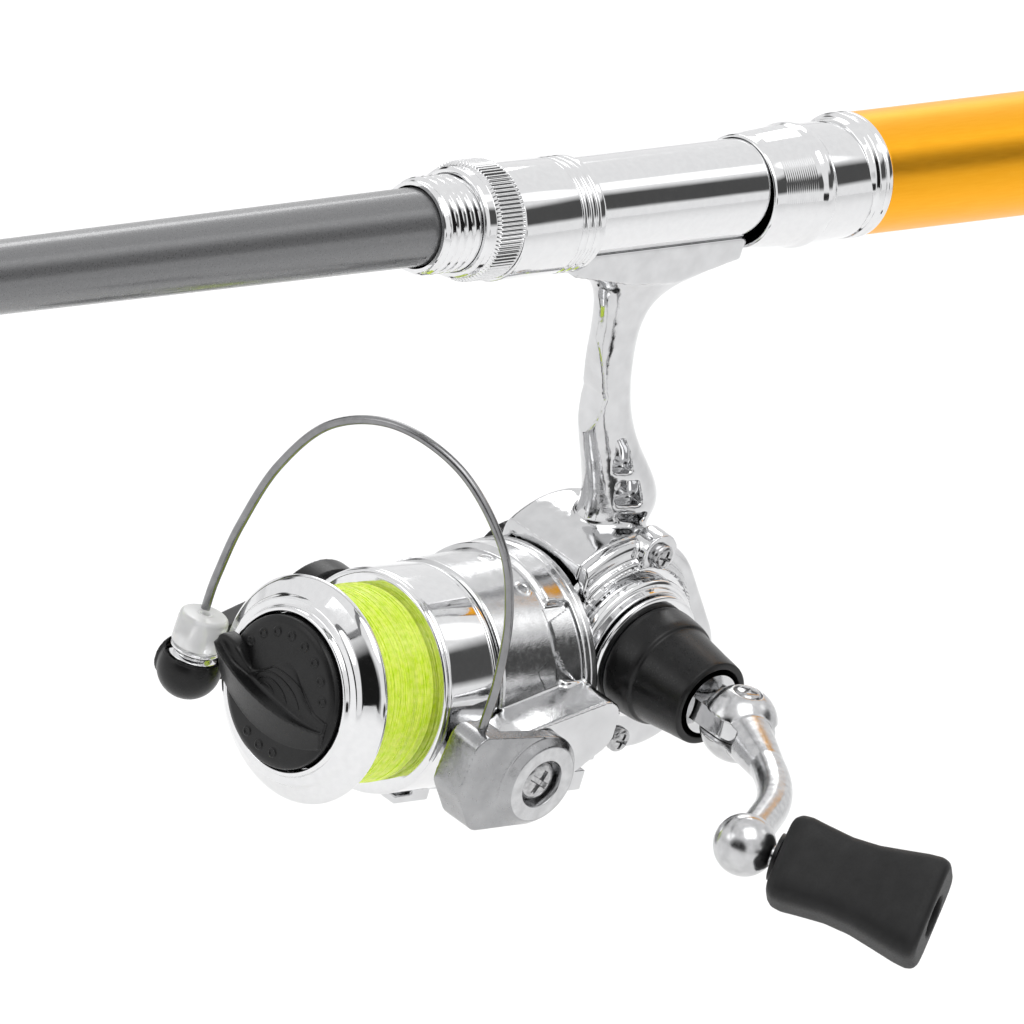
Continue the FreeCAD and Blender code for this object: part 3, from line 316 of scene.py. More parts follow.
MATERIALS = {
    "chrome": CAST_CHROME,
    # satin anodising over drawn tube: a fine even grain
    "gold_anodised": finish(
        "gold_anodised", (1.0, 0.45, 0.018), 0.36, 1.0,
        ((0.3, 4, 4), 3, (0.97, 0.43, 0.015), (1.0, 0.465, 0.022)),
        ((0.4, 5, 5), 3, 0.33, 0.40), [((1.5, 9, 9), 3, 0.0005)]),
    # metallic lacquer over wound glass fibre: fine flakes and a faint wrap
    "grey_blank": finish(
        "grey_blank", (0.15, 0.151, 0.154), 0.30, 0.6,
        (16, 2, (0.10, 0.101, 0.104), (0.25, 0.251, 0.256)),
        (3, 3, 0.25, 0.36), [((1.1, 0.15, 0.15), 2, 0.004), (12, 2, 0.002)],
        Coat_Weight=0.4, Coat_Roughness=0.08),
    # moulded plastic with a fine satin texture
    "black_plastic": finish(
        "black_plastic", (0.005, 0.005, 0.0052), 0.38, 0.0,
        (0.7, 3, (0.004, 0.004, 0.0042), (0.007, 0.007, 0.0072)),
        (5, 3, 0.26, 0.38), [(11, 2, 0.003)], Specular_IOR_Level=0.30),
    # soft matte rubber
    "black_rubber": finish(
        "black_rubber", (0.008, 0.008, 0.0083), 0.55, 0.0,
        (0.5, 3, (0.006, 0.006, 0.0062), (0.011, 0.011, 0.0113)),
        (4, 3, 0.48, 0.62), [(9, 3, 0.006)], Specular_IOR_Level=0.32),
    # milky clear plastic
    "clear_white": finish(
        "clear_white", (0.93, 0.935, 0.94), 0.16, 0.0,
        (0.6, 2, (0.95, 0.953, 0.956), (0.985, 0.987, 0.99)),
        (3, 2, 0.12, 0.22), Transmission_Weight=0.5, IOR=1.40),
    # drawn steel wire, greyer than the plating
    "wire": finish(
        "spring_wire", (0.26, 0.26, 0.265), 0.24, 1.0,
        (0.6, 2, (0.23, 0.23, 0.235), (0.29, 0.29, 0.295)),
        (5, 3, 0.20, 0.28), [(8, 2, 0.001)]),
    # zinc-plated screws, pins and shafts
    "steel": finish(
        "turned_steel", (0.46, 0.46, 0.465), 0.20, 1.0,
        (2, 3, (0.34, 0.34, 0.345), (0.56, 0.56, 0.565)),
        (6, 3, 0.14, 0.26), [(5, 2, 0.006)]),
    # turned gears and bushes
    "brass": finish(
        "turned_brass", (0.80, 0.60, 0.28), 0.26, 1.0,
        (2, 3, (0.68, 0.49, 0.20), (0.86, 0.67, 0.34)),
        (5, 3, 0.20, 0.34), [(6, 2, 0.003)]),
    # fluorescent yellow-green nylon, with a faint painted glow from its emission standing in for the fluorescence
    "fishing_line": finish(
        "nylon_line", (0.70, 0.90, 0.05), 0.16, 0.0,
        (1.2, 3, (0.60, 0.84, 0.02), (0.84, 0.96, 0.16)),
        (6, 2, 0.12, 0.22), Subsurface_Weight=0.3, Subsurface_Scale=1.0,
        Subsurface_Radius=(0.6 * MM, 0.8 * MM, 0.2 * MM),
        # painted glow: a faint emission that brightens the line whatever the light
        Emission_Color=(0.62, 0.82, 0.04, 1), Emission_Strength=0.06),
    # pressed drag washers
    "felt": finish(
        "pressed_felt", (0.32, 0.30, 0.27), 0.95, 0.0,
        (8, 4, (0.24, 0.22, 0.20), (0.42, 0.40, 0.36)), None,
        [(10, 4, 0.05)]),
}
TURNED_NODES = ("seat_tube", "threaded_ferrule", "rear_hood", "slide_hood", "lock_nut",
                "spool", "line_roller", "sleeve_ring")


def dress_nodes():
    """Give every CAD node the material of its slot, or the turned plating."""
    for entry in frame["record"]["subparts"]:
        node = entry["node"]
        turned = node in TURNED_NODES
        materials = NODES[node].data.materials
        materials.clear()
        materials.append(TURNED_CHROME if turned else MATERIALS[entry["material_slot"]])


make_camera()
make_world()
make_stage()
dress_nodes()


# ------------------------------------------------------------------ axes and points, in millimetres

class Axis:
    """A turning axis: a point on it in metres, its direction, and a side direction."""

    def __init__(self, origin, along, side):
        self.origin = Vector(origin)
        self.along = Vector(along).normalized()
        side = Vector(side)
        self.side = (side - self.along * side.dot(self.along)).normalized()
        self.third = self.along.cross(self.side)

    def point(self, station, radius, angle):
        """Return the point at a station and radius, turned from the side direction."""
        across = self.side * math.cos(angle) + self.third * math.sin(angle)
        return self.origin + (self.along * station + across * radius) * MM

    def at(self, station, side, third):
        """Return the point at a station and its places along the two cross directions."""
        return self.origin + (self.along * station + self.side * side + self.third * third) * MM


ROD = Axis((SEAT_X, 0, 0), (1, 0, 0), (0, 1, 0))
REEL = Axis((SEAT_X, 0, REEL_Z), (1, 0, 0), (0, 1, 0))
CRANK_AXIS = Axis((CRANK.x, 0, CRANK.z), (0, -1, 0), (0, 0, 1))
PIVOT_AXIS = Axis((PIVOT.x, 0, PIVOT.z), (0, -1, 0), (0, 0, 1))
ROLLER_AXIS = Axis(ROLLER, (0, 0, 1), (0, 1, 0))
KNOB_LINE = Axis(BALL, KNOB_AXIS, (0, 0, 1))


def spot(station, side, height):
    """Return a point from its station and its place beside and above the reel's axis."""
    return REEL.at(station, side, height)


# ------------------------------------------------------------------ mesh builders

SKIN_WELD = 0.002           # points of a built skin closer than this are one, in millimetres
NODE_WELD = 0.004           # the same for a CAD node's mesh
SHARP = 38                  # edges sharper than this many degrees stay crisp
CAST_SHARP = 60             # the same for a casting
SCREW_SHARP = 30            # the same for a screw head
ARC_STEPS = 4               # spans in a rounded corner


def make_piece(name, mesh, slot, body, replaced=(), material=None, sharp=SHARP):
    """Link a mesh as a piece of the object, with its material (its slot's unless one is given) and body."""
    mesh.materials.clear()
    mesh.materials.append(material or MATERIALS[slot])
    mesh.shade_smooth()
    mesh.set_sharp_from_angle(angle=math.radians(sharp))
    piece = bpy.data.objects.new(name, mesh)
    bpy.context.scene.collection.objects.link(piece)
    if replaced:
        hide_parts(*replaced)
    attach(piece, body)
    return piece


def ring_turns(count):
    """Return evenly spaced angles round a circle."""
    return [2 * math.pi * step / count for step in range(count)]


def grid_mesh(rows, cap_first=False, cap_last=False, loop=False):
    """Return a bmesh skin over closed rows of points; loop joins the last row to the first."""
    skin = bmesh.new()
    table = [[skin.verts.new(point) for point in row] for row in rows]
    pairs = list(zip(table, table[1:]))
    if loop:
        pairs.append((table[-1], table[0]))
    count = len(table[0])
    for lower, upper in pairs:
        for index in range(count):
            after = (index + 1) % count
            skin.faces.new((lower[index], lower[after], upper[after], upper[index]))
    if cap_first:
        skin.faces.new(list(reversed(table[0])))
    if cap_last:
        skin.faces.new(table[-1])
    bmesh.ops.remove_doubles(skin, verts=skin.verts, dist=SKIN_WELD * MM)
    bmesh.ops.recalc_face_normals(skin, faces=skin.faces)
    return skin


def rounded(profile, size):
    """Return a closed profile with each corner replaced by a small arc of points."""
    result = []
    count = len(profile)
    nearly_straight = 3.0
    for index, (x, y) in enumerate(profile):
        before = profile[index - 1]
        after = profile[(index + 1) % count]
        one = Vector((before[0] - x, before[1] - y))
        two = Vector((after[0] - x, after[1] - y))
        doubled = one.length < 1e-6 or two.length < 1e-6
        if doubled or one.angle(two) > nearly_straight or y < 1e-6:
            result.append((x, y))
            continue
        trim = min(size, 0.42 * one.length, 0.42 * two.length)
        corner = Vector((x, y))
        start = corner + one.normalized() * trim
        end = corner + two.normalized() * trim
        for step in range(ARC_STEPS + 1):
            share = step / ARC_STEPS
            lean = start * (1 - share) ** 2 + corner * 2 * share * (1 - share)
            result.append(tuple(lean + end * share ** 2))
    return result


def lathe_mesh(axis, profile, turns=144, size=0.15, wave=None):
    """Return a bmesh turned from a closed profile of (station, radius) millimetres.

    size is the corners' rounding, and wave(station, radius, angle) adds to the radius.
    """
    rows = []
    for station, radius in rounded(profile, size):
        row = []
        for angle in ring_turns(turns):
            extra = wave(station, radius, angle) if wave and radius > 0 else 0.0
            row.append(axis.point(station, radius + extra, angle))
        rows.append(row)
    return grid_mesh(rows, loop=True)


def to_mesh(skin, name):
    """Turn a bmesh into a mesh and free it."""
    mesh = bpy.data.meshes.new(name)
    skin.to_mesh(mesh)
    skin.free()
    return mesh


def lathe(name, axis, profile, slot, body, replaced=(), **options):
    """Turn a profile into a piece."""
    material = options.pop("material", None)
    sharp = options.pop("sharp", SHARP)
    mesh = to_mesh(lathe_mesh(axis, profile, **options), name)
    return make_piece(name, mesh, slot, body, replaced, material, sharp)


def smooth_route(points, steps):
    """Return a Catmull-Rom line through points, with steps between each two."""
    spots = [Vector(point) for point in points]
    spots = [spots[0] * 2 - spots[1]] + spots + [spots[-1] * 2 - spots[-2]]
    line = []
    for a, b, c, d in zip(spots, spots[1:], spots[2:], spots[3:]):
        for step in range(steps):
            t = step / steps
            line.append(0.5 * ((2 * b) + (c - a) * t + (2 * a - 5 * b + 4 * c - d) * t * t
                               + (3 * b - a - 3 * c + d) * t ** 3))
    return line + [spots[-2]]


def tube_mesh(route, radius, sides):
    """Return a bmesh tube along a route; radius is a number or a function of 0 to 1."""
    line = [Vector(point) for point in route]
    normal = None
    rows = []
    for index, point in enumerate(line):
        before = line[max(index - 1, 0)]
        after = line[min(index + 1, len(line) - 1)]
        along = (after - before).normalized()
        if normal is None:
            normal = along.orthogonal()
        normal = (normal - along * normal.dot(along)).normalized()
        third = along.cross(normal)
        size = radius(index / (len(line) - 1)) if callable(radius) else radius
        rows.append([point + (normal * math.cos(turn) + third * math.sin(turn)) * size * MM
                     for turn in ring_turns(sides)])
    return grid_mesh(rows, cap_first=True, cap_last=True)


def plate_mesh(outline, first, last):
    """Extrude a reel-side outline of (station, height) across the reel."""
    skin = bmesh.new()
    near = [skin.verts.new(spot(x, first, z)) for x, z in outline]
    far = [skin.verts.new(spot(x, last, z)) for x, z in outline]
    skin.faces.new(near)
    skin.faces.new(list(reversed(far)))
    count = len(outline)
    for index in range(count):
        after = (index + 1) % count
        skin.faces.new((near[index], far[index], far[after], near[after]))
    bmesh.ops.recalc_face_normals(skin, faces=skin.faces)
    return skin


def joined(*skins):
    """Join bmeshes into one."""
    base = bmesh.new()
    for skin in skins:
        mesh = bpy.data.meshes.new("joined")
        skin.to_mesh(mesh)
        skin.free()
        base.from_mesh(mesh)
        bpy.data.meshes.remove(mesh)
    return base


def node_skin(node):
    """Return a CAD node's mesh as a bmesh, welded."""
    skin = bmesh.new()
    skin.from_mesh(NODES[node].data)
    bmesh.ops.remove_doubles(skin, verts=skin.verts, dist=NODE_WELD * MM)
    return skin


def voxel_remesh(shape, name, voxel):
    """Add a voxel remesh to a shape."""
    remesh = shape.modifiers.new(name, "REMESH")
    remesh.mode = "VOXEL"
    remesh.voxel_size = voxel * MM


def cast_mesh(name, skin, voxel, passes, cuts=()):
    """Weld a bmesh into one soft-edged casting, less the cutting bmeshes."""
    mesh = to_mesh(skin, name)
    shape = bpy.data.objects.new(name + "_work", mesh)
    bpy.context.scene.collection.objects.link(shape)
    voxel_remesh(shape, "weld", voxel)
    tools = []
    for cut in cuts:
        tool = bpy.data.objects.new(name + "_tool", to_mesh(cut, name + "_tool"))
        bpy.context.scene.collection.objects.link(tool)
        carve = shape.modifiers.new("carve", "BOOLEAN")
        carve.operation = "DIFFERENCE"
        carve.solver = "EXACT"
        carve.object = tool
        tools.append(tool)
    if cuts:
        voxel_remesh(shape, "again", voxel)
    soften = shape.modifiers.new("soften", "SMOOTH")
    soften.factor = 0.5
    soften.iterations = passes
    graph = bpy.context.evaluated_depsgraph_get()
    result = bpy.data.meshes.new_from_object(shape.evaluated_get(graph))
    result.name = name
    bpy.data.objects.remove(shape)
    for tool in tools:
        bpy.data.objects.remove(tool)
    return result


def cast(name, skin, slot, body, replaced=(), material=None, **options):
    """Add a soft-edged casting as a piece."""
    mesh = cast_mesh(name, skin, **options)
    return make_piece(name, mesh, slot, body, replaced, material, CAST_SHARP)


# ------------------------------------------------------------------ seat and hoods

THREAD_PITCH = 1.4
THREAD_DEPTH = 0.5
NUT_TEETH = 84
REAR_HOOD_DROP = 0.5        # how far the rear hood's axis lies under the rod's


def make_thread():
    """The ferrule with a real helical thread, run out at both ends."""
    first, last, crest = reach("threaded_ferrule")
    length = last - first
    root = crest - THREAD_DEPTH
    bore = 5.4
    rows = []
    row_spacing = 0.07
    count = int(length / row_spacing)
    turns = ring_turns(128)
    for step in range(count + 1):
        station = length * step / count
        run_in = (station - 0.3) / 0.9
        run_out = (length - 1.6 - station) / 0.8
        fade = min(1.0, max(0.0, run_in), max(0.0, run_out))
        row = []
        for angle in turns:
            phase = (station / THREAD_PITCH - angle / (2 * math.pi)) % 1.0
            rise = 0.5 + 0.5 * math.cos(2 * math.pi * phase)
            rise = min(1.0, 1.35 * rise) ** 0.8
            row.append(ROD.point(station, root + (crest - root) * rise * fade, angle))
        rows.append(row)
    inner = [[ROD.point(station, bore, angle) for angle in turns] for station in (length, 0)]
    skin = grid_mesh(rows + inner, loop=True)
    make_piece("ferrule_thread", to_mesh(skin, "ferrule_thread"), "chrome", "root",
               ["threaded_ferrule"], TURNED_CHROME)


def make_nut():
    """The knurled lock nut."""
    first, last, outside = reach("lock_nut")
    neck = outside - 0.63

    def knurl(station, radius, angle):
        if station < first + 1.9 or station > last - 0.35 or radius < outside - 0.1:
            return 0.0
        return -0.28 * (0.5 + 0.5 * math.cos(NUT_TEETH * angle)) ** 1.5

    edge = [(last - 0.4, outside)] + [(last - 0.4 - 0.2 * step, outside) for step in range(1, 21)]
    profile = [(first, 6.41), (last, 6.41), (last, outside - 0.3), (last - 0.25, outside - 0.02)]
    profile += edge + [(first + 1.65, neck), (first + 0.4, neck), (first, neck - 0.3)]
    lathe("nut_knurled", ROD, profile, "chrome", "nut", ["lock_nut"], turns=NUT_TEETH * 6,
          size=0.08, wave=knurl, material=TURNED_CHROME, sharp=50)


def make_slide_hood():
    """The sliding hood: a thin drawn skirt with three rolled beads at its rear."""
    first, last, outside = reach("slide_hood")
    axis = Axis((SEAT_X, 0, middle("slide_hood").z), (1, 0, 0), (0, 1, 0))
    wall = 0.45
    profile = [(first, outside - 0.9), (first, outside - 0.15), (first + 0.2, outside - 0.02)]
    for bead in range(3):
        at = last - 4.3 + 1.25 * bead
        profile += [(at - 0.1, outside - 0.03), (at + 0.12, outside - 0.30),
                    (at + 0.42, outside - 0.30), (at + 0.65, outside - 0.02)]
    profile += [(last - 0.35, outside), (last, outside - 0.12), (last, outside - wall),
                (first + 4.4, outside - wall), (first + 4.4, outside - 0.95)]
    lathe("hood_skirt", axis, profile, "chrome", "hood", ["slide_hood"], turns=192, size=0.12,
          material=TURNED_CHROME)


def make_rear_hood():
    """The rear hood: a flared mouth set low, fine turned lines, a bead and a collar."""
    first, last, _ = reach("rear_hood")
    mouth = 7.4
    axis = Axis((SEAT_X, 0, -REAR_HOOD_DROP * MM), (1, 0, 0), (0, 1, 0))
    bead = first + 8.4
    profile = [(first, mouth - 0.42), (first, mouth - 0.2), (first + 0.25, mouth - 0.02)]
    for line in range(16):
        at = first + 1.9 + 0.36 * line
        radius = mouth + 0.08 + 0.021 * line
        profile += [(at, radius), (at + 0.12, radius - 0.022), (at + 0.24, radius)]
    profile += [(bead - 0.2, mouth + 0.46), (bead + 0.5, mouth + 0.74), (bead + 1.1, mouth + 0.80),
                (bead + 1.7, mouth + 0.72), (bead + 2.3, mouth + 0.40), (last - 2.7, mouth + 0.30),
                (last - 2.7, 6.6), (first + 7.5, 6.6), (first + 7.5, mouth - 0.1)]
    lathe("rear_hood_skirt", axis, profile, "chrome", "root", ["rear_hood"], turns=192, size=0.1,
          material=TURNED_CHROME)
    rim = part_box("rear_hood")[1].z / MM
    collar = [(last - 3.6, 6.6), (last - 3.6, mouth + 0.05), (last - 2.7, mouth + 0.3),
              (last - 2.35, rim - 0.06), (last - 1.4, rim), (last - 1.1, rim - 0.28),
              (last - 0.8, rim), (last - 0.15, rim - 0.03), (last, rim - 0.25), (last, 6.6)]
    lathe("rear_collar", ROD, collar, "chrome", "root", turns=192, size=0.14,
          material=TURNED_CHROME)


# ------------------------------------------------------------------ spool, line and drag

def make_spool():
    """The spool: a bright stepped lip, a barrel and a plain skirt with a rolled edge."""
    front, rear, lip = reach("spool")
    first, last, _ = reach("line_winding")
    step = front + 0.95
    profile = [
        (front, 10.4), (front, 10.95), (front + 0.7, 11.15), (step - 0.1, 12.2),
        (step + 0.55, 12.55), (step + 1.7, 14.25), (step + 2.15, 14.7), (step + 2.6, lip),
        (step + 3.0, lip - 0.12), (first - 0.5, 14.25), (first - 0.05, 13.5), (first, 9.0),
        (last, 9.0), (last, 14.0), (last + 0.15, 14.45), (last + 0.55, 14.62), (last + 0.75, 14.5),
        (last + 0.95, 14.66), (last + 1.2, 14.72), (rear - 1.15, 14.72), (rear - 1.0, 14.5),
        (rear - 0.8, 14.5), (rear - 0.65, 14.72), (rear - 0.1, 14.66), (rear, 14.4),
        (rear, 13.5), (last + 1.3, 13.5), (last + 1.3, 1.66), (8.6, 1.66), (8.6, 7.2), (5.3, 7.2),
        (5.3, 10.4)]
    lathe("spool_turned", REEL, profile, "chrome", "spool", ["spool"], turns=224, size=0.22,
          material=TURNED_CHROME)


LINE_TURNS = 46
LINE_RADIUS = 0.135
LINE_SEED = 7


def make_winding():
    """The line: a soft bed under crossing turns that run a little out of true."""
    first, last, full = reach("line_winding")
    lathe("line_bed", REEL, [
        (first, 9.0), (first, full - 0.5), (first + 0.5, full - 0.28), (last - 0.5, full - 0.28),
        (last, full - 0.5), (last, 9.0)], "fishing_line", "spool", ["line_winding"], turns=96)
    rng = np.random.default_rng(LINE_SEED)
    skins = []
    span = last - first - 0.5
    for turn in range(LINE_TURNS):
        middle_at = first + 0.25 + span * (turn + 0.5) / LINE_TURNS
        lean = rng.uniform(-0.55, 0.55)
        phase = rng.uniform(0, 2 * math.pi)
        depth = full - 0.19 - rng.uniform(0.0, 0.16)
        wander = rng.uniform(0.03, 0.14)
        start = rng.uniform(0, 2 * math.pi)
        route = []
        for step in range(97):
            angle = start + 2 * math.pi * step / 96
            station = middle_at + lean * math.sin(angle + phase) + wander * math.sin(3 * angle)
            station = min(max(station, first + 0.15), last - 0.15)
            end = min(station - first, last - station)
            sink = 0.25 * max(0.0, 1.0 - end / 0.7)
            route.append(REEL.point(station, depth - sink + 0.03 * math.sin(5 * angle), angle))
        skins.append(tube_mesh(route, LINE_RADIUS, 7))
    make_piece("line_turns", to_mesh(joined(*skins), "line_turns"), "fishing_line", "spool",
               sharp=180)


# The drag knob: a place along its grip is a distance to the far side of the reel's axis
GRIP_START = -9.4
GRIP_END = 11.15
FACE = 1.7                  # station of the knob's face
DIMPLES = 19                # dimples round the whole rim, some of them under the grip
DIMPLE_CIRCLE = 7.95
LEAF_ARCS = 4


def grip_crest(along):
    """Return the height of the grip's crest line at a place along the knob."""
    return -1.85 + 0.022 * (along + 3.0) ** 2


def grip_lower(along):
    """Return the height of the grip's lower edge."""
    return -6.4 + 0.033 * along ** 2


def grip_upper(along):
    """Return the leaf-shaped upper edge of the grip."""
    leaf = 4.4 * math.exp(-((along + 0.6) / 3.9) ** 2)
    heel = 3.1 / (1 + math.exp(-(along - 6.4) * 1.6))
    return 0.35 + max(leaf, heel)


def leaf_rise(along):
    """Return how far the leaf beside the grip stands off the knob's face."""
    heel = 1 / (1 + math.exp(-(along - 6.2) * 1.8))
    return 0.30 + 1.5 * heel


def grip_row(along):
    """Return one section of the grip as reel points, from below the face and back."""
    share = min(1.0, (along - GRIP_START) / 18.0)
    end = min(1.0, max(0.05, (GRIP_END - along) / 1.0))
    swell = math.sqrt(1 - (1 - end) ** 2)
    top = (0.9 + 2.2 * share) * (0.45 + 0.55 * swell)
    crest = grip_crest(along)
    middle_z = 0.5 * (grip_lower(along) + grip_upper(along))
    section = [(grip_lower(along), -0.5)]
    for step in range(9):
        part = step / 8
        section.append((grip_lower(along) + (crest - grip_lower(along)) * part,
                        top * part ** 1.15))
    scoop = min(top, leaf_rise(along))
    for step in range(1, 10):
        part = step / 9
        height = crest + (grip_upper(along) - crest) * part
        drop = scoop + (top - scoop) * (1 - min(1.0, part * 6)) ** 2
        section.append((height, drop * (1 - max(0.0, part - 0.86) / 0.14 * 0.9)))
    section.append((grip_upper(along), -0.5))
    return [REEL.at(FACE - rise, along, middle_z + (height - middle_z) * (0.7 + 0.3 * swell))
            for height, rise in section]


def arc_radius(share):
    """Return an engraved arc's radius at a share of its length, thin at both ends."""
    return 0.10 * math.sin(math.pi * share) + 0.03


def make_drag_knob():
    """The drag knob: a disc with a rim of dimples, a leaf-shaped grip and nested arcs."""
    outside = reach("drag_knob")[2]
    lathe("drag_disc", REEL, [
        (FACE - 0.12, 0), (FACE - 0.08, 6.0), (FACE + 0.02, outside - 0.9),
        (FACE + 0.35, outside - 0.15), (FACE + 0.9, outside), (4.9, outside), (4.9, 4.0),
        (3.4, 4.0), (3.4, 1.7), (2.6, 1.7), (2.6, 0)], "black_plastic", "drag", ["drag_knob"],
        turns=160, size=0.3)
    skins = []
    for dimple in range(DIMPLES):
        angle = 2 * math.pi * (dimple + 0.5) / DIMPLES
        side = DIMPLE_CIRCLE * math.cos(angle)
        height = DIMPLE_CIRCLE * math.sin(angle)
        if grip_lower(side) - 0.9 < height < grip_upper(side) + 1.0:
            continue
        ring = []
        for radius, rise in ((0.14, -0.06), (0.30, -0.02), (0.42, 0.10), (0.52, 0.17),
                             (0.66, 0.14), (0.80, -0.15)):
            ring.append([REEL.at(FACE - rise, side + radius * math.cos(turn),
                                 height + radius * math.sin(turn))
                         for turn in ring_turns(20)])
        skins.append(grid_mesh(ring, cap_first=True))
    for arc in range(LEAF_ARCS):
        spread = 1.3 + 1.15 * arc
        route = []
        for step in range(25):
            angle = math.radians(8 + 150 * step / 24)
            side = 1.6 - 0.9 * arc + spread * 1.25 * math.cos(angle)
            height = grip_crest(side) + 0.35 + spread * 0.92 * math.sin(angle)
            if height > grip_upper(side) - 0.25:
                continue
            route.append(REEL.at(FACE - leaf_rise(side) - 0.02, side, height))
        if len(route) > 3:
            skins.append(tube_mesh(route, arc_radius, 8))
    make_piece("drag_marks", to_mesh(joined(*skins), "drag_marks"), "black_plastic", "drag",
               sharp=60)
    length = GRIP_END - GRIP_START - 0.05
    rows = [grip_row(GRIP_START + length * step / 60) for step in range(61)]
    cast("drag_grip", grid_mesh(rows, cap_first=True, cap_last=True), "black_plastic", "drag",
         voxel=0.15, passes=4)


# ------------------------------------------------------------------ reel body

def make_housing():
    """The cast foot, leg and gear case; the ledge over the rotor's space is faired off."""
    fairing = plate_mesh([(34, 50.5), (39.6, 50.5), (40.5, 47.8), (41.5, 45.2), (42.5, 42.7),
                          (43.4, 40.2), (43.85, 37.8), (43.85, 36.0), (34, 36.0)], -7, 7)
    cast("housing_cast", node_skin("reel_housing"), "chrome", "root", ["reel_housing"],
         voxel=0.24, passes=7, cuts=[fairing])


def make_cover():
    """The gear cover: its plate cast, with three bold rings turned round the crank."""
    gutter = lathe_mesh(CRANK_AXIS, [(7.3, 8.6), (7.3, 10.9), (13, 10.9), (13, 8.6)], turns=64)
    cast("cover_cast", node_skin("side_cover"), "chrome", "root", ["side_cover"],
         voxel=0.2, passes=3, cuts=[gutter])
    profile = [(6.5, 8.3)]
    for start, end, radius in ((6.5, 7.5, 12.4), (8.3, 9.4, 11.2), (10.2, 11.6, 10.0)):
        profile += [(start, 9.1), (start, radius - 0.3), (start + 0.3, radius),
                    (end - 0.35, radius - 0.1), (end, radius - 0.5), (end, 9.1)]
    profile += [(12.6, 8.9), (12.6, 8.3)]
    lathe("cover_rings", CRANK_AXIS, profile, "chrome", "root", turns=192, size=0.16,
          material=TURNED_CHROME)


def screw_skin(axis, station, radius, tall, cross):
    """Return a pan head with a cross recess, standing on station along its axis."""
    rows = []
    turns = ring_turns(96)
    for share in [step / 26 for step in range(27)]:
        rho = radius * share
        row = []
        for angle in turns:
            rise = tall * math.sqrt(max(0.0, 1 - (share * 0.96) ** 4))
            folded = abs((angle + math.pi / 4) % (math.pi / 2) - math.pi / 4)
            off = rho * math.sin(folded)
            along = rho * math.cos(folded)
            if off < 0.13 * radius and along < cross:
                rise -= 0.55 * tall * min(1.0, (cross - along) / (0.25 * cross))
            row.append(axis.point(station + rise, max(rho, 1e-4), angle))
        rows.append(row)
    rows.append([axis.point(station - 0.3, radius, angle) for angle in turns])
    return grid_mesh(rows, cap_last=True)


COVER_SCREWS = [(54.6, 19.6, 9.6), (69.2, 2.4, 8.3), (58.6, -8.3, 8.3)]  # station, height, seat


def make_cover_screws():
    """The three cross-head screws of the cover."""
    skins = []
    for station, height, seat in COVER_SCREWS:
        axis = Axis(spot(station, 0, height), (0, -1, 0), (0.3, 0, 1))
        skins.append(screw_skin(axis, seat + 0.15, 1.68, 0.95, 1.1))
        skins.append(lathe_mesh(axis, [(1.5, 0.001), (1.5, 0.88), (seat, 0.88), (seat, 0.001)],
                                turns=32))
    make_piece("cover_screw_heads", to_mesh(joined(*skins), "cover_screw_heads"), "steel",
               "root", ["cover_screws"], sharp=SCREW_SHARP)


# ------------------------------------------------------------------ crank side

def make_sleeve():
    """The black sleeve: a stepped cone, open at its end round the hinge."""
    lathe("sleeve_body", CRANK_AXIS, [
        (13.7, 2.52), (13.7, 7.2), (14.1, 7.55), (15.2, 7.62), (17.6, 7.45), (18.5, 7.25),
        (18.8, 6.85), (19.6, 6.74), (23.6, 6.2), (25.8, 5.95), (26.4, 5.85), (26.5, 5.55),
        (26.5, 4.95), (26.2, 4.85), (22.0, 4.6), (22.0, 2.52)], "black_plastic", "drive",
        ["handle_sleeve"], turns=160, size=0.3)
    lathe("sleeve_seat", CRANK_AXIS, [
        (12.9, 2.52), (12.9, 8.3), (13.05, 8.65), (13.3, 8.78), (13.55, 8.65), (13.7, 8.3),
        (13.7, 2.52)], "chrome", "drive", ["sleeve_ring"], turns=160, size=0.1,
        material=TURNED_CHROME)


CAP_RIBS = 28


def make_far_cap():
    """The ribbed screw cap on the far side of the crank shaft."""
    def ribs(station, radius, angle):
        if radius < 4.8 or station < -14.9 or station > -10.2:
            return 0.0
        return -0.22 * (0.5 + 0.5 * math.cos(CAP_RIBS * angle)) ** 3
    profile = [(-15.4, 0.0), (-15.4, 4.2), (-15.1, 4.9)]
    profile += [(-14.8 + 0.4 * step, 5.2) for step in range(12)]
    profile += [(-10.05, 4.95), (-10.0, 2.52), (-13.4, 2.52), (-13.4, 0.0)]
    lathe("far_cap_ribbed", CRANK_AXIS, profile, "black_plastic", "drive", ["far_cap"],
          turns=CAP_RIBS * 8, size=0.12, wave=ribs)


def make_crank():
    """The folding crank: its arm cast, with a seat for the head of the hinge pin."""
    seat = lathe_mesh(Axis(HINGE, (0, 0, 1), (1, 0, 0)), [
        (4.2, 0.001), (4.2, 1.95), (8, 1.95), (8, 0.001)], turns=48)
    cast("crank_cast", node_skin("crank_arm"), "chrome", "crank", ["crank_arm"], SATIN_CHROME,
         voxel=0.15, passes=5, cuts=[seat])
    pin = Axis(HINGE, (0, 0, 1), (1, 0.4, 0))
    head = screw_skin(pin, 4.25, 1.75, 0.7, 1.2)
    make_piece("pin_head", to_mesh(head, "pin_head"), "steel", "crank", sharp=SCREW_SHARP)


KNOB_TURN = math.radians(-38)
KNOB_SQUARE = 0.42          # the power that squares the knob's section: 1 is an oval


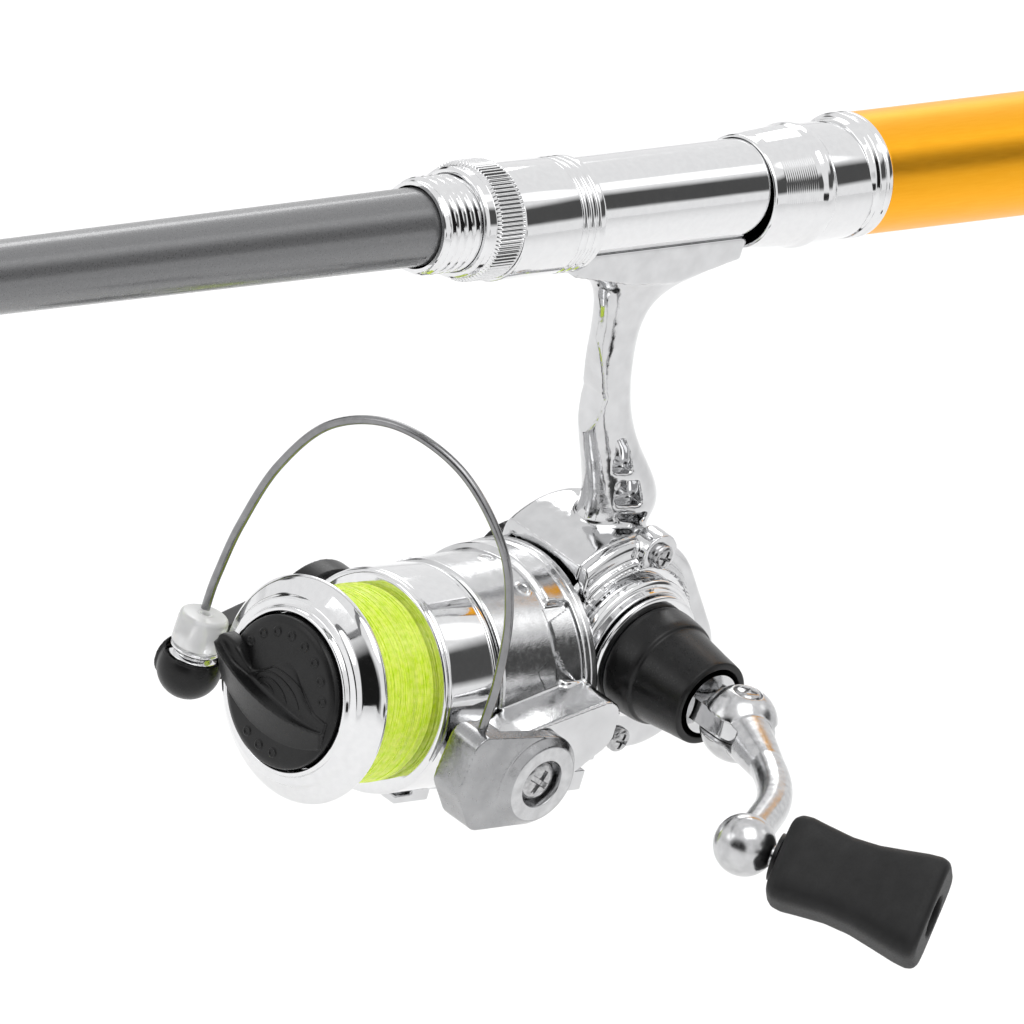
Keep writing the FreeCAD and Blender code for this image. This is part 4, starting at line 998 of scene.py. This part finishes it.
def make_knob():
    """The soft rubber paddle: a waisted rounded block with an open bore in its end."""
    # distance from the ball's centre, half height and half width
    stations = [(4.85, 4.6, 3.2), (5.1, 5.3, 3.7), (5.9, 5.9, 4.15), (7.2, 6.05, 4.3),
                (9.5, 5.8, 4.2), (13.0, 5.5, 4.1), (16.5, 5.7, 4.25), (20.0, 6.35, 4.6),
                (23.0, 6.95, 4.85), (24.8, 7.15, 4.9), (25.7, 6.9, 4.65), (26.15, 6.3, 4.1)]
    rows = []
    for distance, tall, wide in stations:
        row = []
        for angle in ring_turns(96):
            cosine, sine = math.cos(angle), math.sin(angle)
            up = tall * math.copysign(abs(cosine) ** KNOB_SQUARE, cosine)
            side = wide * math.copysign(abs(sine) ** KNOB_SQUARE, sine)
            turned_up = up * math.cos(KNOB_TURN) - side * math.sin(KNOB_TURN)
            turned_side = up * math.sin(KNOB_TURN) + side * math.cos(KNOB_TURN)
            row.append(KNOB_LINE.at(distance, turned_up, turned_side))
        rows.append(row)
    skin = grid_mesh(rows, cap_first=True, cap_last=True)
    bore = lathe_mesh(KNOB_LINE, [(22.5, 0.001), (22.5, 2.8), (30, 2.8), (30, 0.001)], turns=48)
    cast("knob_rubber", skin, "black_rubber", "knob", ["handle_knob"], voxel=0.22, passes=4,
         cuts=[bore])


# ------------------------------------------------------------------ rotor and bail

def near_angle(angle):
    """Return how far round from the top towards the near side an angle is, in degrees."""
    return math.degrees(angle) - 90


def inside(point, corners):
    """Tell whether a point lies within an outline."""
    within = False
    x, y = point
    for (x_1, y_1), (x_2, y_2) in zip(corners, corners[1:] + corners[:1]):
        if (y_1 > y) != (y_2 > y) and x < x_1 + (y - y_1) * (x_2 - x_1) / (y_2 - y_1):
            within = not within
    return within


# Outlines on the rotor's skin: station, and degrees from the top towards the near side
ROTOR_WINDOW = [(37.6, 29.0), (41.9, 31.5), (41.9, 73.0), (36.0, 77.0), (33.8, 64.0), (36.2, 58.0)]
ROTOR_WEB = [(37.0, 40.0), (41.9, 33.0), (41.9, 72.0), (40.2, 71.5), (38.0, 64.0), (36.9, 54.0)]
ROTOR_SLOT = [(36.1, 33.0), (37.0, 33.5), (36.8, 60.0), (36.2, 57.0)]
ROTOR_DIMPLES = [(35.8, 19.6), (35.4, -8.0)]


def rotor_relief(station, radius, angle):
    """Return how far the rotor's skin stands off its turned profile."""
    if radius < 14.5 or station < 28.5 or station > 41.9:
        return 0.0
    place = (station, near_angle(angle))
    for dimple, degrees in ROTOR_DIMPLES:
        away = math.hypot(station - dimple, math.radians(place[1] - degrees) * 15.2)
        if away < 1.25:
            return 0.13 * math.exp(-((away - 0.85) / 0.2) ** 2) - 0.22 * (away < 0.6)
    if inside(place, ROTOR_SLOT):
        return 14.55 - radius
    if inside(place, ROTOR_WEB):
        return 15.85 - radius
    if inside(place, ROTOR_WINDOW):
        return 14.95 - radius
    return 0.0


def make_rotor():
    """The rotor: its arms and lugs cast, under a turned skin with a window in its rear band."""
    cast("rotor_cast", node_skin("rotor"), "chrome", "rotor", ["rotor"], SPECKLED_CHROME,
         voxel=0.2, passes=5)
    turned = [(27.5, 13.9), (27.5, 14.4), (27.7, 14.75), (28.0, 14.92)]
    turned += [(28.0 + 0.15 * step, 14.92 + 0.0062 * step) for step in range(1, 63)]
    turned += [(37.45, 15.38), (37.6, 15.75), (37.75, 16.0), (37.95, 16.12)]
    turned += [(38.1 + 0.15 * step, 16.13) for step in range(25)]
    turned += [(41.85, 16.14), (42.0, 16.36), (42.15, 16.46), (42.9, 16.48), (43.15, 16.4),
               (43.2, 16.2), (43.2, 15.3), (41.0, 14.9), (30.5, 14.2)]
    lathe("rotor_skin", REEL, turned, "chrome", "rotor", turns=480, size=0.03,
          wave=rotor_relief, material=SPECKLED_CHROME, sharp=50)


def make_bail_screws():
    """The two pivot screws of the bail, with cross recesses."""
    near = Axis((PIVOT.x, 0, PIVOT.z), (0, -1, 0), (0.5, 0, 1))
    far = Axis((PIVOT.x, 0, PIVOT.z), (0, 1, 0), (0.5, 0, 1))
    skins = []
    for axis, face in ((near, 23.6), (far, 22.4)):
        skins.append(screw_skin(axis, face - 1.15, 2.8, 1.1, 1.75))
        skins.append(lathe_mesh(axis, [(15.6, 0.001), (15.6, 1.28), (face - 1.4, 1.28),
                                       (face - 1.4, 2.75), (face - 1.1, 2.75),
                                       (face - 1.1, 0.001)], turns=64))
    make_piece("bail_screw_heads", to_mesh(joined(*skins), "bail_screw_heads"), "steel",
               "rotor", ["bail_screws"], sharp=SCREW_SHARP)


def make_holder():
    """The near bail holder: a faceted nose, and a bevelled ring round its pivot screw."""
    # the holder's plating is a darker copy of the chrome: painted shade
    cast("holder_cast", node_skin("bail_holder"), "chrome", "bail", ["bail_holder"],
         SHADED_CHROME, voxel=0.12, passes=3)
    lathe("holder_ring", PIVOT_AXIS, [
        (24.02, 3.35), (24.02, 5.25), (23.9, 5.45), (23.0, 6.3), (22.85, 6.42), (21.15, 6.42),
        (21.15, 5.0), (22.1, 5.0), (22.1, 3.3), (23.7, 3.3)], "chrome", "bail", turns=160,
        size=0.12, material=SATIN_CHROME)


def make_bail_wire():
    """The drawn wire arch, bent through even curves."""
    route = [(18.3, -20.5, 0.2), (18.3, -20.5, 5.5), (18.3, -20.5, 11.0), (17.2, -20.0, 20.4),
             (15.1, -17.2, 29.2), (12.0, -9.6, 36.3), (9.0, 0.4, 37.9), (7.3, 9.6, 33.4),
             (6.3, 15.2, 24.6), (6.0, 18.2, 14.6), (6.3, 19.7, 7.0), (6.6, 20.3, 2.6),
             (6.4, 20.0, -1.6)]
    line = smooth_route([spot(*place) for place in route], 24)
    skin = tube_mesh(line, 0.6, 24)
    make_piece("wire_bent", to_mesh(skin, "wire_bent"), "wire", "bail", ["bail_wire"])


def make_roller_end():
    """The clear cap that holds the wire, the bright roller under it and the black ball."""
    lathe("cap_clear", ROLLER_AXIS, [
        (-3.4, 0.85), (-3.4, 3.2), (-3.2, 3.38), (0.3, 3.32), (0.75, 3.2), (1.0, 2.85),
        (1.02, 1.05), (1.12, 0.95), (1.12, 0.7), (1.0, 0.55), (-0.6, 0.5), (-1.4, 0.8)],
        "clear_white", "bail", ["roller_cap"], turns=96, size=0.2)
    lathe("roller_grooved", ROLLER_AXIS, [
        (-5.3, 0.9), (-5.3, 3.0), (-5.15, 3.25), (-4.9, 3.25), (-4.6, 2.6), (-4.3, 2.6),
        (-4.0, 3.25), (-3.75, 3.25), (-3.6, 3.0), (-3.6, 0.9)], "chrome", "roller",
        ["line_roller"], turns=96, size=0.1, material=TURNED_CHROME)
    cast("bulb_arm", node_skin("bail_arm"), "black_plastic", "bail", ["bail_arm"], voxel=0.14,
         passes=5)
    ball = [(-6.7 - 4.24 * math.cos(math.radians(5 * step)),
             4.24 * math.sin(math.radians(5 * step))) for step in range(23)]
    lathe("bulb_ball", ROLLER_AXIS, [(-10.94, 0.0)] + ball[1:] + [
        (-5.05, 3.72), (-5.2, 3.55), (-5.6, 3.5), (-5.6, 0.9), (-7.0, 0.9), (-7.0, 0.0)],
        "black_plastic", "bail", turns=96, size=0.05)


for make in (make_thread, make_nut, make_slide_hood, make_rear_hood, make_spool, make_winding,
             make_drag_knob, make_housing, make_cover, make_cover_screws, make_sleeve,
             make_far_cap, make_crank, make_knob, make_rotor, make_bail_screws, make_holder,
             make_bail_wire, make_roller_end):
    make()


tent = Vector((SEAT_X, 0, REEL_Z))
area_light("key", tent + Vector((-0.2, -0.4, 1.1)), tent, 0.8, 4.5)
area_light("fill", tent + Vector((-1.0, 0.5, 0.5)), tent, 0.5, 1.0)
area_light("rim", tent + Vector((0.6, 0.8, 0.7)), tent, 0.5, 2.0)

bpy.context.scene.view_settings.view_transform = "Standard"
